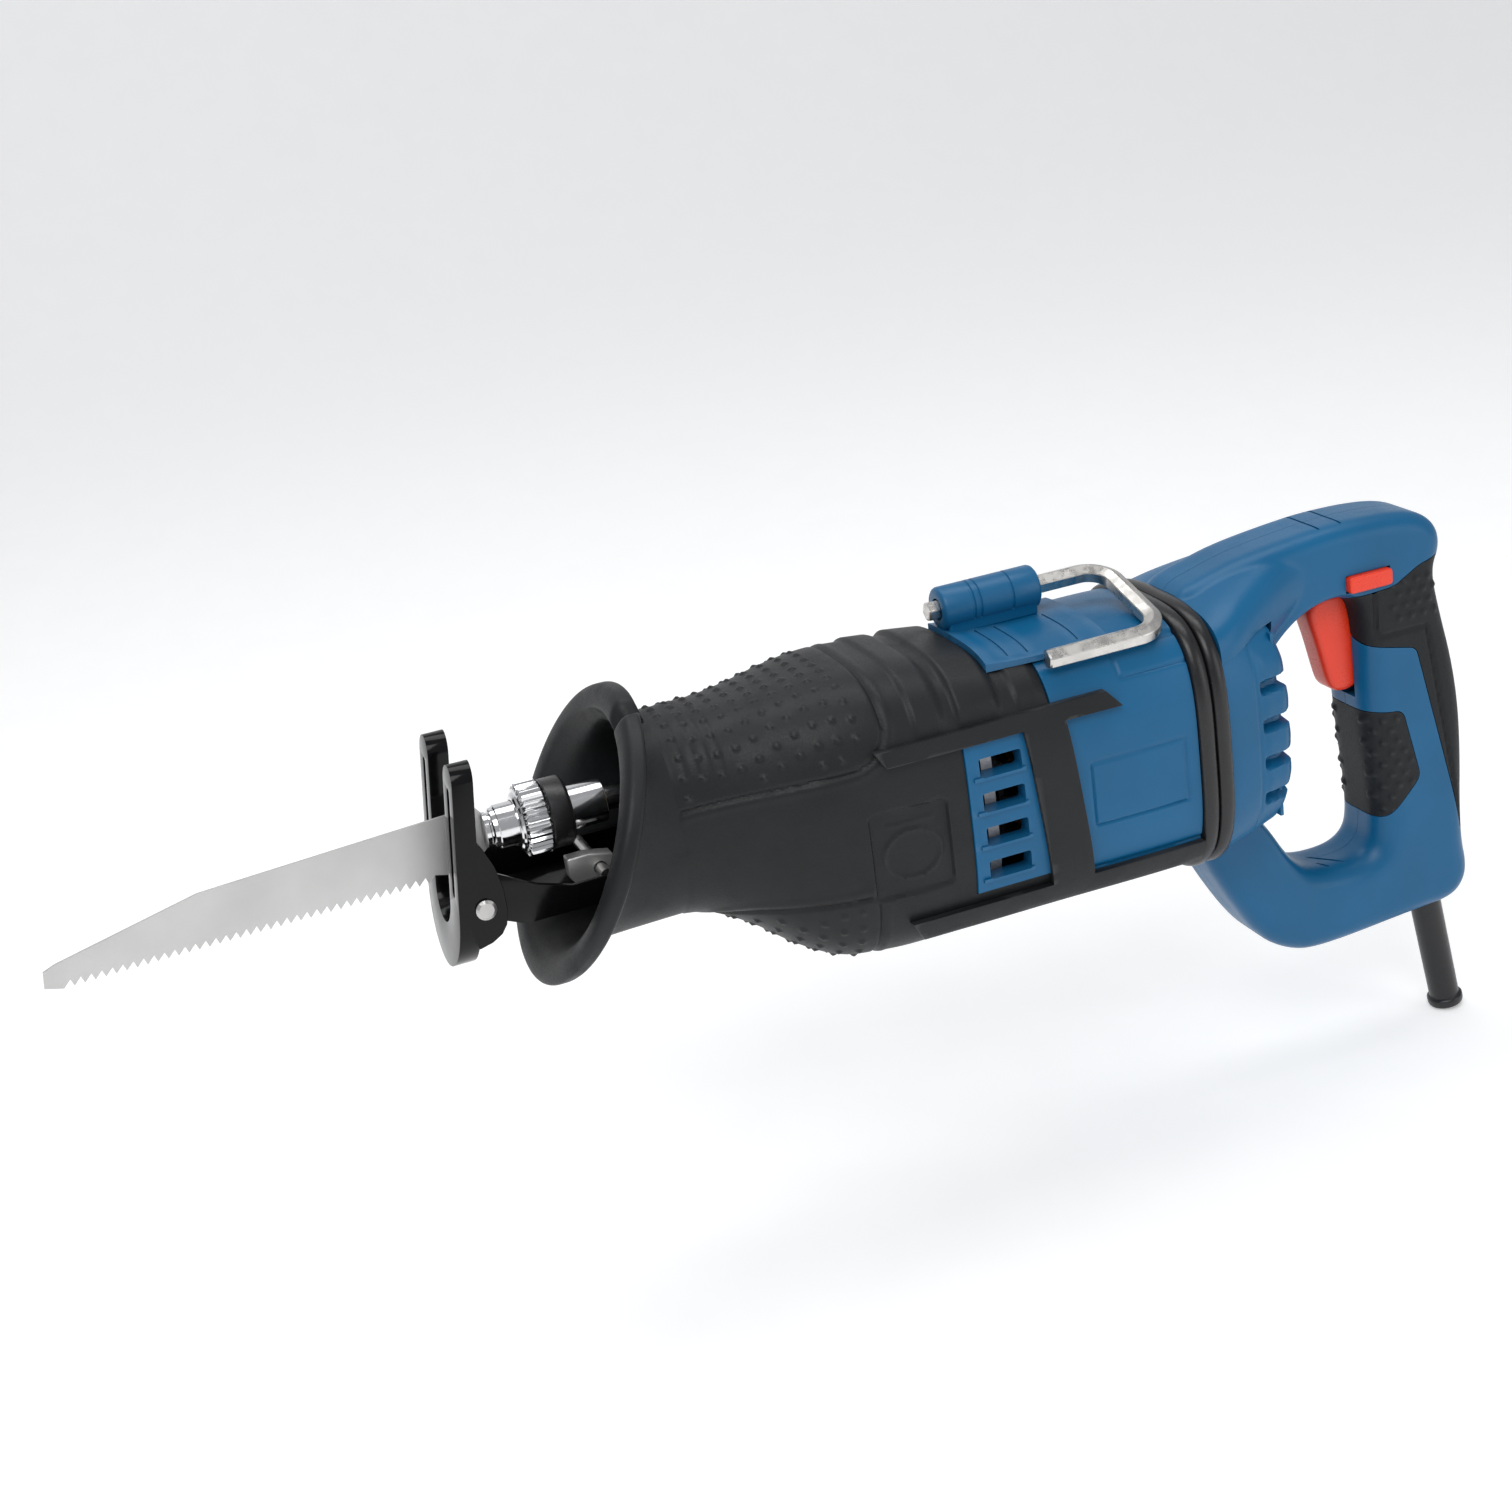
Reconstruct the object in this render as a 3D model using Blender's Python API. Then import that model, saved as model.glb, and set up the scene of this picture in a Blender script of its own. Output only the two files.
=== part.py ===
"""Corded reciprocating saw, modelled as an assembly of separate pieces.

Tool frame, in millimetres: X runs rearwards from the shoe, Z up from the plunger's axis, and Y is
the tool's plane of symmetry. The empty tool_frame then moves everything so that the origin is the
middle of the bottom of the whole saw. Numbers in the tool frame are millimetres times MM.
"""

import math

import bmesh
import bpy
import numpy as np

MM = 0.001
GAP = 0.3  # clearance between neighbouring pieces

# Overall
BLADE_TIP_X = -158.0
REAR_X = 471.5
LOWEST_Z = -215.35
CENTRE_X = (BLADE_TIP_X + REAR_X) / 2

# Drive
ROD_R = 5.0
STROKE = 28.0
CRANK_X = 180.0
CRANK_ARM = STROKE / 2
GEAR_TEETH, PINION_TEETH = 24, 6
MOTOR_Z = -31.5
SHAFT_R = 5.0

# Blade clamp
CLAMP_X0 = 21.0
CLAMP_X1 = 54.0
CLAMP_BODY_R = 9.0
COLLAR_R = 15.2

# Shoe
SHOE_LEAN = 0.13  # how far the shoe's face leans back, per unit of height
SHOE_FACE_X = 0.5
SHOE_T = 2.4
SHOE_DEPTH = 8.5
SHOE_HALF = 28.0
SHOE_SLOT_HALF = 13.0
PIVOT_X, PIVOT_Z = 8.5, -21.0
ARM_HALF = 24.9
LEVER_X, LEVER_Z = 60.0, -23.5

# Housings
BOOT_WALL = 3.0
CASTING_X = (100.0, 205.0)
MOTOR_X = (206.4, 312.0)
BOOT_REAR_X = 248.0
WINDOW_X, WINDOW_Z = (206.0, 250.0), (-64.0, 3.0)
RING_X = (312.3, 319.9, 327.7)
CAP_X = (328.0, 362.0)

# Handle
HANDLE_HALF = 19.5
HANDLE_ROUND = 9.0
OPENING_ROUND = 12.0
PAD_DEPTH = 2.0
HANDLE_WALL = 5.0

TRIGGER_X, TRIGGER_Z = 417.0, 4.0

# Hanging hook
HOOK_Y, HOOK_Z = 10.0, 40.0
HOOK_R = 4.3

# Stations along the body: x, centre height, half width, half height, squareness
BODY = (
    (88, -12.0, 34.0, 42.5, 2.3),
    (100, -13.0, 35.0, 43.5, 2.4),
    (118, -18.0, 39.0, 48.0, 2.6),
    (135, -24.0, 44.0, 55.0, 2.9),
    (150, -27.0, 48.0, 60.0, 3.1),
    (168, -27.5, 50.0, 62.0, 3.3),
    (200, -29.0, 50.5, 61.0, 3.4),
    (236, -31.0, 50.5, 58.5, 3.4),
    (312, -31.5, 50.5, 58.0, 3.4),
    (330, -31.5, 49.5, 57.0, 3.4),
    (362, -32.0, 44.0, 50.0, 3.0),
)
# Stations of the boot's slanted hand guard, with the lean of each as a sixth number
GUARD_OUTSIDE = (
    (51.5, -11.3, 59.0, 52.5, 2.0, 0.47),
    (54.0, -11.3, 62.5, 56.0, 2.0, 0.47),
    (58.0, -11.3, 62.5, 56.0, 2.0, 0.47),
    (60.5, -11.3, 59.0, 52.5, 2.0, 0.46),
    (65.0, -11.8, 46.0, 47.5, 2.0, 0.40),
    (75.0, -12.2, 37.0, 43.5, 2.2, 0.25),
)
GUARD_INSIDE = (
    (51.5, -11.3, 54.5, 49.0, 2.0, 0.47),
    (54.0, -11.3, 51.5, 46.5, 2.0, 0.47),
    (60.0, -11.8, 45.0, 44.0, 2.0, 0.42),
    (68.0, -12.2, 37.5, 41.0, 2.1, 0.34),
    (78.0, -12.4, 33.0, 39.8, 2.2, 0.24),
)
# Stations of the handle's shoulders, which flare out to the housing: x, centre, half sizes, squareness
SHOULDER = (
    (328, 4.5, 46.8, 21.0, 3.0),
    (340, 8.0, 43.0, 22.0, 2.8),
    (352, 11.0, 36.0, 23.0, 2.6),
    (366, 16.5, 28.0, 20.5, 2.5),
    (380, 21.0, 21.5, 18.0, 2.5),
    (393, 24.0, 17.5, 15.0, 2.5),
)

HANDLE_OUTLINE = (
    (324, 28), (345, 34), (362, 38), (391, 41), (409, 42), (434, 41), (450, 37.5), (458, 30),
    (459, 20), (454.5, 11), (457, -5), (464.5, -38), (467, -69), (465, -119), (468.5, -138),
    (464, -148), (456, -152.5), (443, -153), (385, -157.5), (369, -153), (355, -142), (331, -99),
    (318, -58), (316, -10),
)
# The hand opening in the plane of symmetry: x, z, and how far its edge opens out at the sides
OPENING_OUTLINE = (
    (352, -40, 3), (352, -25, 3), (366, -11, 3), (380, 2.5, 3), (394, 8.5, 3), (408, 8.5, 4),
    (415, 1, 8), (415.5, -50, 12), (421, -104, 12), (416, -119, 12), (388, -119.5, 10),
    (376, -110, 7), (362, -86, 4), (352, -76, 3),
)
REAR_PAD_OUTLINE = (
    (431, 9), (444, 16), (480, 24), (480, -118), (463, -118), (441, -22), (416, -16), (409, 8),
)
FRONT_PAD_OUTLINE = ((398, -46), (433, -50), (441, -84), (424, -101), (398, -101))

COLOURS = {
    "blue": ((0.010, 0.135, 0.285, 1), 0.42, 0.0),
    "rubber": ((0.022, 0.024, 0.026, 1), 0.75, 0.0),
    "red": ((0.75, 0.045, 0.015, 1), 0.35, 0.0),
    "steel": ((0.62, 0.62, 0.62, 1), 0.28, 1.0),
    "bright": ((0.80, 0.80, 0.80, 1), 0.12, 1.0),
    "blade": ((0.55, 0.55, 0.55, 1), 0.45, 0.6),
    "black_steel": ((0.012, 0.012, 0.013, 1), 0.18, 0.2),
    "casting": ((0.45, 0.45, 0.46, 1), 0.5, 0.9),
    "copper": ((0.70, 0.28, 0.12, 1), 0.35, 0.9),
    "bronze": ((0.55, 0.36, 0.14, 1), 0.4, 0.9),
    "carbon": ((0.05, 0.05, 0.05, 1), 0.7, 0.0),
    "black_plastic": ((0.02, 0.02, 0.02, 1), 0.5, 0.0),
}


# ---------------------------------------------------------------- scene and small helpers

for old in list(bpy.data.objects):
    bpy.data.objects.remove(old)

scene = bpy.context.scene
saw = bpy.data.collections.new("reciprocating_saw")
cutters = bpy.data.collections.new("cutters")
scene.collection.children.link(saw)
scene.collection.children.link(cutters)

root = bpy.data.objects.new("tool_frame", None)
root.location = (-CENTRE_X * MM, 0, -LOWEST_Z * MM)
saw.objects.link(root)


def material(name):
    """The shared material of that name."""
    if name in bpy.data.materials:
        return bpy.data.materials[name]
    colour, roughness, metallic = COLOURS[name]
    made = bpy.data.materials.new(name)
    made.use_nodes = True
    shader = made.node_tree.nodes["Principled BSDF"]
    shader.inputs["Base Color"].default_value = colour
    shader.inputs["Roughness"].default_value = roughness
    shader.inputs["Metallic"].default_value = metallic
    made.diffuse_color = colour
    return made


def part(name, mesh, finish):
    """A named piece of the saw made from a mesh in the tool frame."""
    mesh.materials.clear()
    mesh.materials.append(material(finish))
    mesh.shade_smooth()
    mesh.set_sharp_from_angle(angle=math.radians(35))
    piece = bpy.data.objects.new(name, mesh)
    piece.parent = root
    saw.objects.link(piece)
    return piece


def mesh_from(build):
    """A mesh in metres from a function that fills a bmesh in millimetres."""
    bm = bmesh.new()
    build(bm)
    bmesh.ops.recalc_face_normals(bm, faces=bm.faces)
    if bm.calc_volume(signed=True) < 0:
        bmesh.ops.reverse_faces(bm, faces=bm.faces)
    bmesh.ops.scale(bm, vec=(MM, MM, MM), verts=bm.verts)
    mesh = bpy.data.meshes.new("shape")
    bm.to_mesh(mesh)
    bm.free()
    return mesh


def combined(base, *steps):
    """The mesh left after Boolean steps on base, each a pair of an operation and a mesh."""
    target = bpy.data.objects.new("target", base)
    cutters.objects.link(target)
    tools = []
    for operation, mesh in steps:
        tool = bpy.data.objects.new("tool", mesh)
        tool.hide_render = True
        tool.display_type = "WIRE"
        cutters.objects.link(tool)
        tools.append(tool)
        step = target.modifiers.new(operation, "BOOLEAN")
        step.operation = operation
        step.object = tool
    graph = bpy.context.evaluated_depsgraph_get()
    result = bpy.data.meshes.new_from_object(target.evaluated_get(graph))
    for used in [target, *tools]:
        bpy.data.objects.remove(used)
    bm = bmesh.new()
    bm.from_mesh(result)
    bmesh.ops.remove_doubles(bm, verts=bm.verts, dist=0.00004)
    bmesh.ops.dissolve_degenerate(bm, edges=bm.edges, dist=0.00001)
    bm.to_mesh(result)
    bm.free()
    return result


def cut(base, *meshes):
    """Base less each of the meshes."""
    return combined(base, *(("DIFFERENCE", m) for m in meshes))


def joined(base, *meshes):
    """Base with each of the meshes added."""
    return combined(base, *(("UNION", m) for m in meshes))


def block(x, y, z):
    """A box between the two values of each axis."""

    def build(bm):
        bmesh.ops.create_cube(bm, size=1)
        bmesh.ops.scale(bm, vec=(x[1] - x[0], y[1] - y[0], z[1] - z[0]), verts=bm.verts)
        middle = ((x[0] + x[1]) / 2, (y[0] + y[1]) / 2, (z[0] + z[1]) / 2)
        bmesh.ops.translate(bm, vec=middle, verts=bm.verts)

    return mesh_from(build)


def turned(profile, start, axis, sides=28):
    """A solid turned from (distance along the axis, radius) pairs. A closed profile makes a ring."""
    along = np.array(axis, float) / np.linalg.norm(axis)
    other = np.array((0, 1, 0)) if abs(along[1]) < 0.9 else np.array((1, 0, 0))
    across = np.cross(along, other)
    across /= np.linalg.norm(across)
    third = np.cross(along, across)
    rings = []
    for t, r in profile:
        centre = np.array(start, float) + t * along
        turns = [2 * math.pi * i / sides for i in range(sides)]
        rings.append([centre + r * (math.cos(a) * across + math.sin(a) * third) for a in turns])
    return loft(rings, profile[0] == profile[-1])


def rod(start, end, radius, sides=28):
    """A plain round bar between two points."""
    span = np.subtract(end, start)
    return turned(((0, radius), (float(np.linalg.norm(span)), radius)), start, span, sides)


def sleeve(x, outer, inner, y=0.0, z=0.0, axis=(1, 0, 0), sides=28):
    """A plain ring between two distances along an axis through (0, y, z), or (x, y, 0) if upright."""
    length = x[1] - x[0]
    start = np.array((0, y, z), float) + np.array(axis, float) * x[0]
    loop = ((0, outer), (length, outer), (length, inner), (0, inner), (0, outer))
    return turned(loop, start, axis, sides)


def loft(rings, closed=False):
    """A solid through rings of points: capped at both ends, or joined last to first."""
    last = closed and len(rings) > 2
    used = rings[:-1] if last else rings

    def build(bm):
        rows = [[bm.verts.new(p) for p in ring] for ring in used]
        count = len(rows[0])
        pairs = list(zip(rows, rows[1:] + rows[:1])) if last else list(zip(rows, rows[1:]))
        for a, b in pairs:
            for i in range(count):
                j = (i + 1) % count
                bm.faces.new((a[i], a[j], b[j], b[i]))
        if not last:
            bm.faces.new(rows[0])
            bm.faces.new(rows[-1])

    return mesh_from(build)


def plate(outline, depth, plane="XZ"):
    """A flat outline given thickness between two depths, drawn in the XZ or YZ plane."""
    curve = bpy.data.curves.new("outline", "CURVE")
    curve.dimensions = "2D"
    curve.fill_mode = "BOTH"
    curve.extrude = abs(depth[1] - depth[0]) / 2
    line = curve.splines.new("POLY")
    line.points.add(len(outline) - 1)
    for point, (a, b) in zip(line.points, outline):
        point.co = (a, b, 0, 1)
    line.use_cyclic_u = True
    drawn = bpy.data.objects.new("outline", curve)
    cutters.objects.link(drawn)
    graph = bpy.context.evaluated_depsgraph_get()
    mesh = bpy.data.meshes.new_from_object(drawn.evaluated_get(graph))
    bpy.data.objects.remove(drawn)
    middle = (depth[0] + depth[1]) / 2

    def build(bm):
        bm.from_mesh(mesh)
        bmesh.ops.remove_doubles(bm, verts=bm.verts, dist=0.001)
        for v in bm.verts:
            a, b, c = v.co
            v.co = (a, middle + c, b) if plane == "XZ" else (middle + c, a, b)

    return mesh_from(build)


def arc(cx, cz, radius, start, end, steps=8):
    """Points along an arc, with its angles in degrees."""
    turns = [math.radians(start + (end - start) * i / steps) for i in range(steps + 1)]
    return [(cx + radius * math.cos(a), cz + radius * math.sin(a)) for a in turns]


def smoothed(points, rounds=2):
    """A closed outline with its corners cut and cut again, so that it curves."""
    p = np.array(points, float)
    for _ in range(rounds):
        after = np.roll(p, -1, axis=0)
        p = np.stack((0.75 * p + 0.25 * after, 0.25 * p + 0.75 * after), 1).reshape(-1, p.shape[1])
    return p


def grown(points, amount):
    """A closed outline moved outwards by amount, or inwards if it is negative."""
    p = np.array(points, float)[:, :2]
    before, after = np.roll(p, 1, axis=0), np.roll(p, -1, axis=0)
    way = after - before
    way /= np.linalg.norm(way, axis=1)[:, None]
    area = np.sum(p[:, 0] * after[:, 1] - after[:, 0] * p[:, 1])
    normal = np.stack((way[:, 1], -way[:, 0]), 1) * math.copysign(1, area)
    return [tuple(q) for q in p + normal * np.broadcast_to(amount, len(p))[:, None]]


def edge_levels(half, round_over):
    """Pairs of y and how far the edge has turned, 0 to 1, across a slab with rounded edges."""
    turns = [math.radians(a) for a in (0, 30, 60, 90)]
    near = [(half - round_over + round_over * math.sin(a), 1 - math.cos(a)) for a in turns]
    return [(-y, turn) for y, turn in reversed(near)] + near


def pillow(outline, half, growth, round_over):
    """A slab of an XZ outline, symmetrical in Y, whose edges round over."""
    rings = []
    for y, turn in edge_levels(half, round_over):
        ring = grown(outline, growth - round_over * turn)
        rings.append([(x, y, z) for x, z in ring])
    return loft(rings)


def station(x):
    """Centre height, half width, half height and squareness of the body at x."""
    table = np.array(BODY, float)
    slopes = np.gradient(table[:, 1:], table[:, 0], axis=0)
    i = int(np.clip(np.searchsorted(table[:, 0], x) - 1, 0, len(table) - 2))
    span = table[i + 1, 0] - table[i, 0]
    t = (x - table[i, 0]) / span
    a, b = 2 * t**3 - 3 * t**2 + 1, -2 * t**3 + 3 * t**2
    c, d = (t**3 - 2 * t**2 + t) * span, (t**3 - t**2) * span
    return a * table[i, 1:] + b * table[i + 1, 1:] + c * slopes[i] + d * slopes[i + 1]


def section(x, centre, half_width, half_height, square, lean=0.0, inset=0.0, sides=40):
    """A ring of points round the body at x: a circle pulled out towards a box."""
    ring = []
    for i in range(sides):
        a = 2 * math.pi * (i + 0.5) / sides
        c, s = math.cos(a), math.sin(a)
        y = (half_width - inset) * math.copysign(abs(c) ** (2 / square), c)
        z = (half_height - inset) * math.copysign(abs(s) ** (2 / square), s)
        ring.append((x + lean * z, y, centre + z))
    return ring


def body_ring(x, inset=0.0, sides=40):
    """The ring of the body's own surface at x, moved in by inset."""
    return section(x, *station(x), inset=inset, sides=sides)


def stations_between(x0, x1):
    """The two ends and the table's stations between them."""
    return [x0, *(row[0] for row in BODY if x0 + 4 < row[0] < x1 - 4), x1]


def body_solid(x0, x1, inset):
    """A solid length of the body's shape."""
    return loft([body_ring(x, inset) for x in stations_between(x0, x1)])


def body_tube(x0, x1, outer, inner):
    """A hollow length of the body's shape between two insets."""
    xs = stations_between(x0, x1)
    out = [body_ring(x, outer) for x in xs]
    back = [body_ring(x, inner) for x in reversed(xs)]
    return loft([*out, *back, out[0]], closed=True)


# ---------------------------------------------------------------- blade and its clamp


def make_blade():
    """Wood blade: teeth below, a tapered nose and a narrow tang with a hole."""
    pitch, first, last = 4.0, -154.0, -4.0
    teeth = int((last - first) / pitch)
    outline = [(-157, -10), (-152, -8), (-95, 5.2), (5, 10.5), (17, 10), (20, 6), (43, 6), (43, -6), (20, -6)]
    outline += [(14, -12), (2, -14.5)]
    for i in range(teeth):
        x = last - i * pitch
        low = -16.0 - 2.5 * (last - x) / (last - first)
        outline += [(x, low + 3.0), (x - 3.0, low)]
    outline += [(BLADE_TIP_X, -16.5)]
    blank = plate(outline, (-0.6, 0.6))
    part("blade", cut(blank, rod((36, -3, 0), (36, 3, 0), 1.9, 16)), "blade")


def make_clamp():
    """Turned clamp body with a slot for the tang, its cross pin, and the collar that turns on it."""
    r = CLAMP_BODY_R
    shape = ((0, 7.4), (1.2, 8.4), (4.5, 8.4), (5, r), (CLAMP_X1 - CLAMP_X0, r))
    body = turned(shape, (CLAMP_X0, 0, 0), (1, 0, 0))
    slot = block((15, 44), (-0.95, 0.95), (-6.4, 6.4))
    bore = rod((45, 0, 0), (60, 0, 0), ROD_R + GAP)
    pin_hole = rod((36, -12, 0), (36, 12, 0), 1.8, 16)
    part("clamp_body", cut(body, slot, bore, pin_hole), "bright")
    part("clamp_pin", rod((36, -8.5, 0), (36, 8.5, 0), 1.5, 16), "steel")
    inner = r + GAP
    collar = ((0, 11.5), (2.0, COLLAR_R), (12.0, COLLAR_R), (12.0, inner), (0, inner), (0, 11.5))
    part("clamp_collar", turned(collar, (31.5, 0, 0), (1, 0, 0), 36), "bright")
    grip = ((0, 14.4), (8.2, 14.4), (9.4, 13.2), (9.4, inner), (0, inner), (0, 14.4))
    part("clamp_grip_ring", turned(grip, (43.8, 0, 0), (1, 0, 0), 36), "rubber")


# ---------------------------------------------------------------- shoe


def fork_outline():
    """Outline of the shoe's fork in Y and Z: a round bottom, two prongs and the slot between them."""
    low, slot_low = -51 + SHOE_HALF, -20.0
    prong_half = (SHOE_HALF - SHOE_SLOT_HALF) / 2
    top, middle = 38 - prong_half, SHOE_HALF - prong_half
    outline = arc(0, low, SHOE_HALF, 180, 360, 14)
    outline += arc(middle, top, prong_half, 0, 180)
    outline += arc(0, slot_low, SHOE_SLOT_HALF, 0, -180, 10)
    return outline + arc(-middle, top, prong_half, 0, 180)


def make_shoe():
    """Forked pressed shoe with side ears, leaning back a little, on an arm that slides in the body."""
    outline = fork_outline()
    face = plate(outline, (SHOE_FACE_X, SHOE_FACE_X + SHOE_DEPTH), "YZ")
    back = plate(grown(outline, -SHOE_T), (SHOE_FACE_X + SHOE_T, SHOE_FACE_X + SHOE_DEPTH + 2), "YZ")
    pressed = cut(face, back)
    for v in pressed.vertices:
        v.co.x += SHOE_LEAN * v.co.z
    ear = [(3, 16), (10, 8), (17, -10), (17, -29), (10, -38), (1, -42)]
    ears = []
    for side in (-1, 1):
        ears.append(plate(ear, tuple(sorted((side * (SHOE_HALF - SHOE_T), side * (SHOE_HALF - 0.1))))))
    hole = rod((PIVOT_X, -30, PIVOT_Z), (PIVOT_X, 30, PIVOT_Z), 2.9, 16)
    part("shoe", cut(joined(pressed, *ears), hole), "black_steel")

    side_view = arc(PIVOT_X, PIVOT_Z, 4.6, 250, 110, 8)
    side_view += [(15, -9), (31, -18), (45, -22.5), (135, -22.5), (135, -33), (24, -33)]
    outer = plate(side_view, (-ARM_HALF, ARM_HALF))
    trough = plate([(0, 0), (140, 0), (140, -31), (22, -31), (0, -50)], (2.4 - ARM_HALF, ARM_HALF - 2.4))
    lever_way = block((43, 70), (-13.5, -5), (-40, -25))
    part("shoe_arm", cut(outer, trough, lever_way, hole_through(PIVOT_X, PIVOT_Z, 2.9)), "black_steel")
    for side, label in ((-1, "left"), (1, "right")):
        rivet = ((0, 2.6), (6.5, 2.6), (6.5, 4.2), (7.3, 4.2), (8.0, 3.0))
        place = (PIVOT_X, side * (SHOE_HALF - 6.2), PIVOT_Z)
        part(f"shoe_rivet_{label}", turned(rivet, place, (0, side, 0), 20), "steel")

    lever = [(47, -16.5), (56, -16.5), (66, -18.5), (66, -26), (62, -28.5), (50, -28.5), (47, -25)]
    pin_hole = hole_through(LEVER_X, LEVER_Z, 2.8)
    part("shoe_lever", cut(plate(lever, (-12.5, -6)), pin_hole), "steel")
    pin = rod((LEVER_X, -21, LEVER_Z), (LEVER_X, 21, LEVER_Z), 2.4, 16)
    part("shoe_lever_bolt", pin, "steel")


def hole_through(x, z, radius):
    """A cutter right across the tool."""
    return rod((x, -60, z), (x, 60, z), radius, 16)


# ---------------------------------------------------------------- drive


def make_drive():
    """Plunger and yoke on two bushes, driven by a crank gear from the motor's pinion."""
    part("plunger_rod", rod((45.5, 0, 0), (182, 0, 0), ROD_R), "bright")
    yoke_x = CRANK_X - CRANK_ARM
    yoke = block((yoke_x - 10, yoke_x + 10), (-22, 22), (-7, 7))
    yoke_slot = block((yoke_x - 4.6, yoke_x + 4.6), (-18.6, 18.6), (-8, -5.6))
    yoke_bore = rod((yoke_x - 20, 0, 0), (yoke_x + 20, 0, 0), ROD_R + GAP)
    part("yoke", cut(yoke, yoke_slot, yoke_bore), "steel")
    part("front_bush", sleeve((98, 128), 8.7, ROD_R + GAP), "bronze")
    part("rear_bush", sleeve((136, 149), 8.7, ROD_R + GAP), "bronze")

    wheel = turned(((0, 33), (11, 33)), (CRANK_X, 0, -24), (0, 0, 1), 40)
    grooves = []
    for i in range(GEAR_TEETH):
        a = 2 * math.pi * (i + 0.3) / GEAR_TEETH
        reach = (math.cos(a), math.sin(a))
        start = (CRANK_X + 20 * reach[0], 20 * reach[1], -24)
        end = (CRANK_X + 36 * reach[0], 36 * reach[1], -24)
        grooves.append(rod(start, end, 1.6, 4))
    bore = rod((CRANK_X, 0, -30), (CRANK_X, 0, -5), 6 + GAP)
    socket = rod((CRANK_X - CRANK_ARM, 0, -17.8), (CRANK_X - CRANK_ARM, 0, -5), 4 + GAP)
    part("crank_gear", cut(wheel, *grooves, bore, socket), "steel")
    pin_x = CRANK_X - CRANK_ARM
    part("crank_pin", rod((pin_x, 0, -17.5), (pin_x, 0, -7.4), 4), "bright")
    part("gear_shaft", rod((CRANK_X, 0, -62), (CRANK_X, 0, -13.4), 6), "steel")
    bearing = ((0, 13), (10, 13), (10, 6 + GAP), (0, 6 + GAP), (0, 13))
    part("gear_bearing", turned(bearing, (CRANK_X, 0, -58), (0, 0, 1)), "bright")


# ---------------------------------------------------------------- motor


def make_motor():
    """Universal motor: armature on two bearings, fan, stator with its windings, and brushes."""
    z = MOTOR_Z
    shaft = turned(((0, 7.2), (12, 7.2), (12, SHAFT_R), (153, SHAFT_R)), (201, 0, z), (1, 0, 0))
    grooves = []
    for i in range(PINION_TEETH):
        a = 2 * math.pi * (i + 0.2) / PINION_TEETH
        y, up = 7.4 * math.cos(a), 7.4 * math.sin(a)
        grooves.append(rod((198, y, z + up), (212, y, z + up), 1.3, 4))
    part("armature_shaft", cut(shaft, *grooves), "steel")
    part("bearing_front", sleeve((215, 223), 13, SHAFT_R + GAP, z=z), "bright")
    part("bearing_rear", sleeve((344, 352), 11, SHAFT_R + GAP, z=z), "bright")

    plate_blank = body_solid(216, 221, 6.8)
    part("bearing_bracket", cut(plate_blank, rod((210, 0, z), (226, 0, z), 13 + GAP)), "casting")

    hub = turned(((0, 12), (9, 12)), (225, 0, z), (1, 0, 0))
    vanes = []
    for i in range(10):
        a = 2 * math.pi * i / 10
        c, s = math.cos(a), math.sin(a)
        corners = [(10, -1), (37, -1), (37, 1), (10, 1)]
        vane = [(u * c - v * s, z + u * s + v * c) for u, v in corners]
        vanes.append(plate(vane, (227, 235), "YZ"))
    disc = rod((225, 0, z), (227.4, 0, z), 38, 40)
    fan_bore = rod((220, 0, z), (240, 0, z), SHAFT_R + GAP)
    part("fan", cut(joined(hub, disc, *vanes), fan_bore), "black_plastic")

    slots = []
    for i in range(12):
        a = 2 * math.pi * (i + 0.17) / 12
        y, up = 23 * math.cos(a), 23 * math.sin(a)
        slots.append(rod((230, y, z + up), (310, y, z + up), 1.6, 6))
    core = sleeve((242, 290), 23, SHAFT_R + GAP, z=z, sides=36)
    part("armature_core", cut(core, *slots), "steel")
    part("commutator", sleeve((300, 320), 14, SHAFT_R + GAP, z=z, sides=24), "copper")
    part("stator_core", sleeve((240, 292), 39, 24.2, z=z, sides=32), "casting")
    for label, x in (("front", 236.6), ("rear", 292.4)):
        coil = ((0, 34), (3, 34), (3, 27), (0, 27), (0, 34))
        part(f"field_coil_{label}", turned(coil, (x, 0, z), (1, 0, 0)), "copper")
    for side, label in ((-1, "left"), (1, "right")):
        span = tuple(sorted((side * 17, side * 38)))
        holder = block((302, 318), span, (z - 7, z + 7))
        channel = block((306, 314), tuple(sorted((side * 16, side * 36))), (z - 4, z + 4))
        part(f"brush_holder_{label}", cut(holder, channel), "bronze")
        span = tuple(sorted((side * 14.4, side * 33)))
        part(f"brush_{label}", block((306.3, 313.7), span, (z - 3.7, z + 3.7)), "carbon")


# ---------------------------------------------------------------- housings


def make_boot():
    """Rubber boot over the gear casting, with a slanted hand guard and open side windows."""
    main = [x for x in stations_between(88, BOOT_REAR_X)]
    outside = [section(*row[:5], lean=row[5]) for row in GUARD_OUTSIDE]
    outside += [body_ring(x) for x in main]
    inside = [body_ring(x, BOOT_WALL) for x in reversed(main)]
    inside += [section(*row[:5], lean=row[5]) for row in reversed(GUARD_INSIDE)]
    shell = loft([*outside, *inside, outside[0]], closed=True)
    window = block(WINDOW_X, (-80, 80), WINDOW_Z)
    part("boot", cut(shell, window), "rubber")


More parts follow.
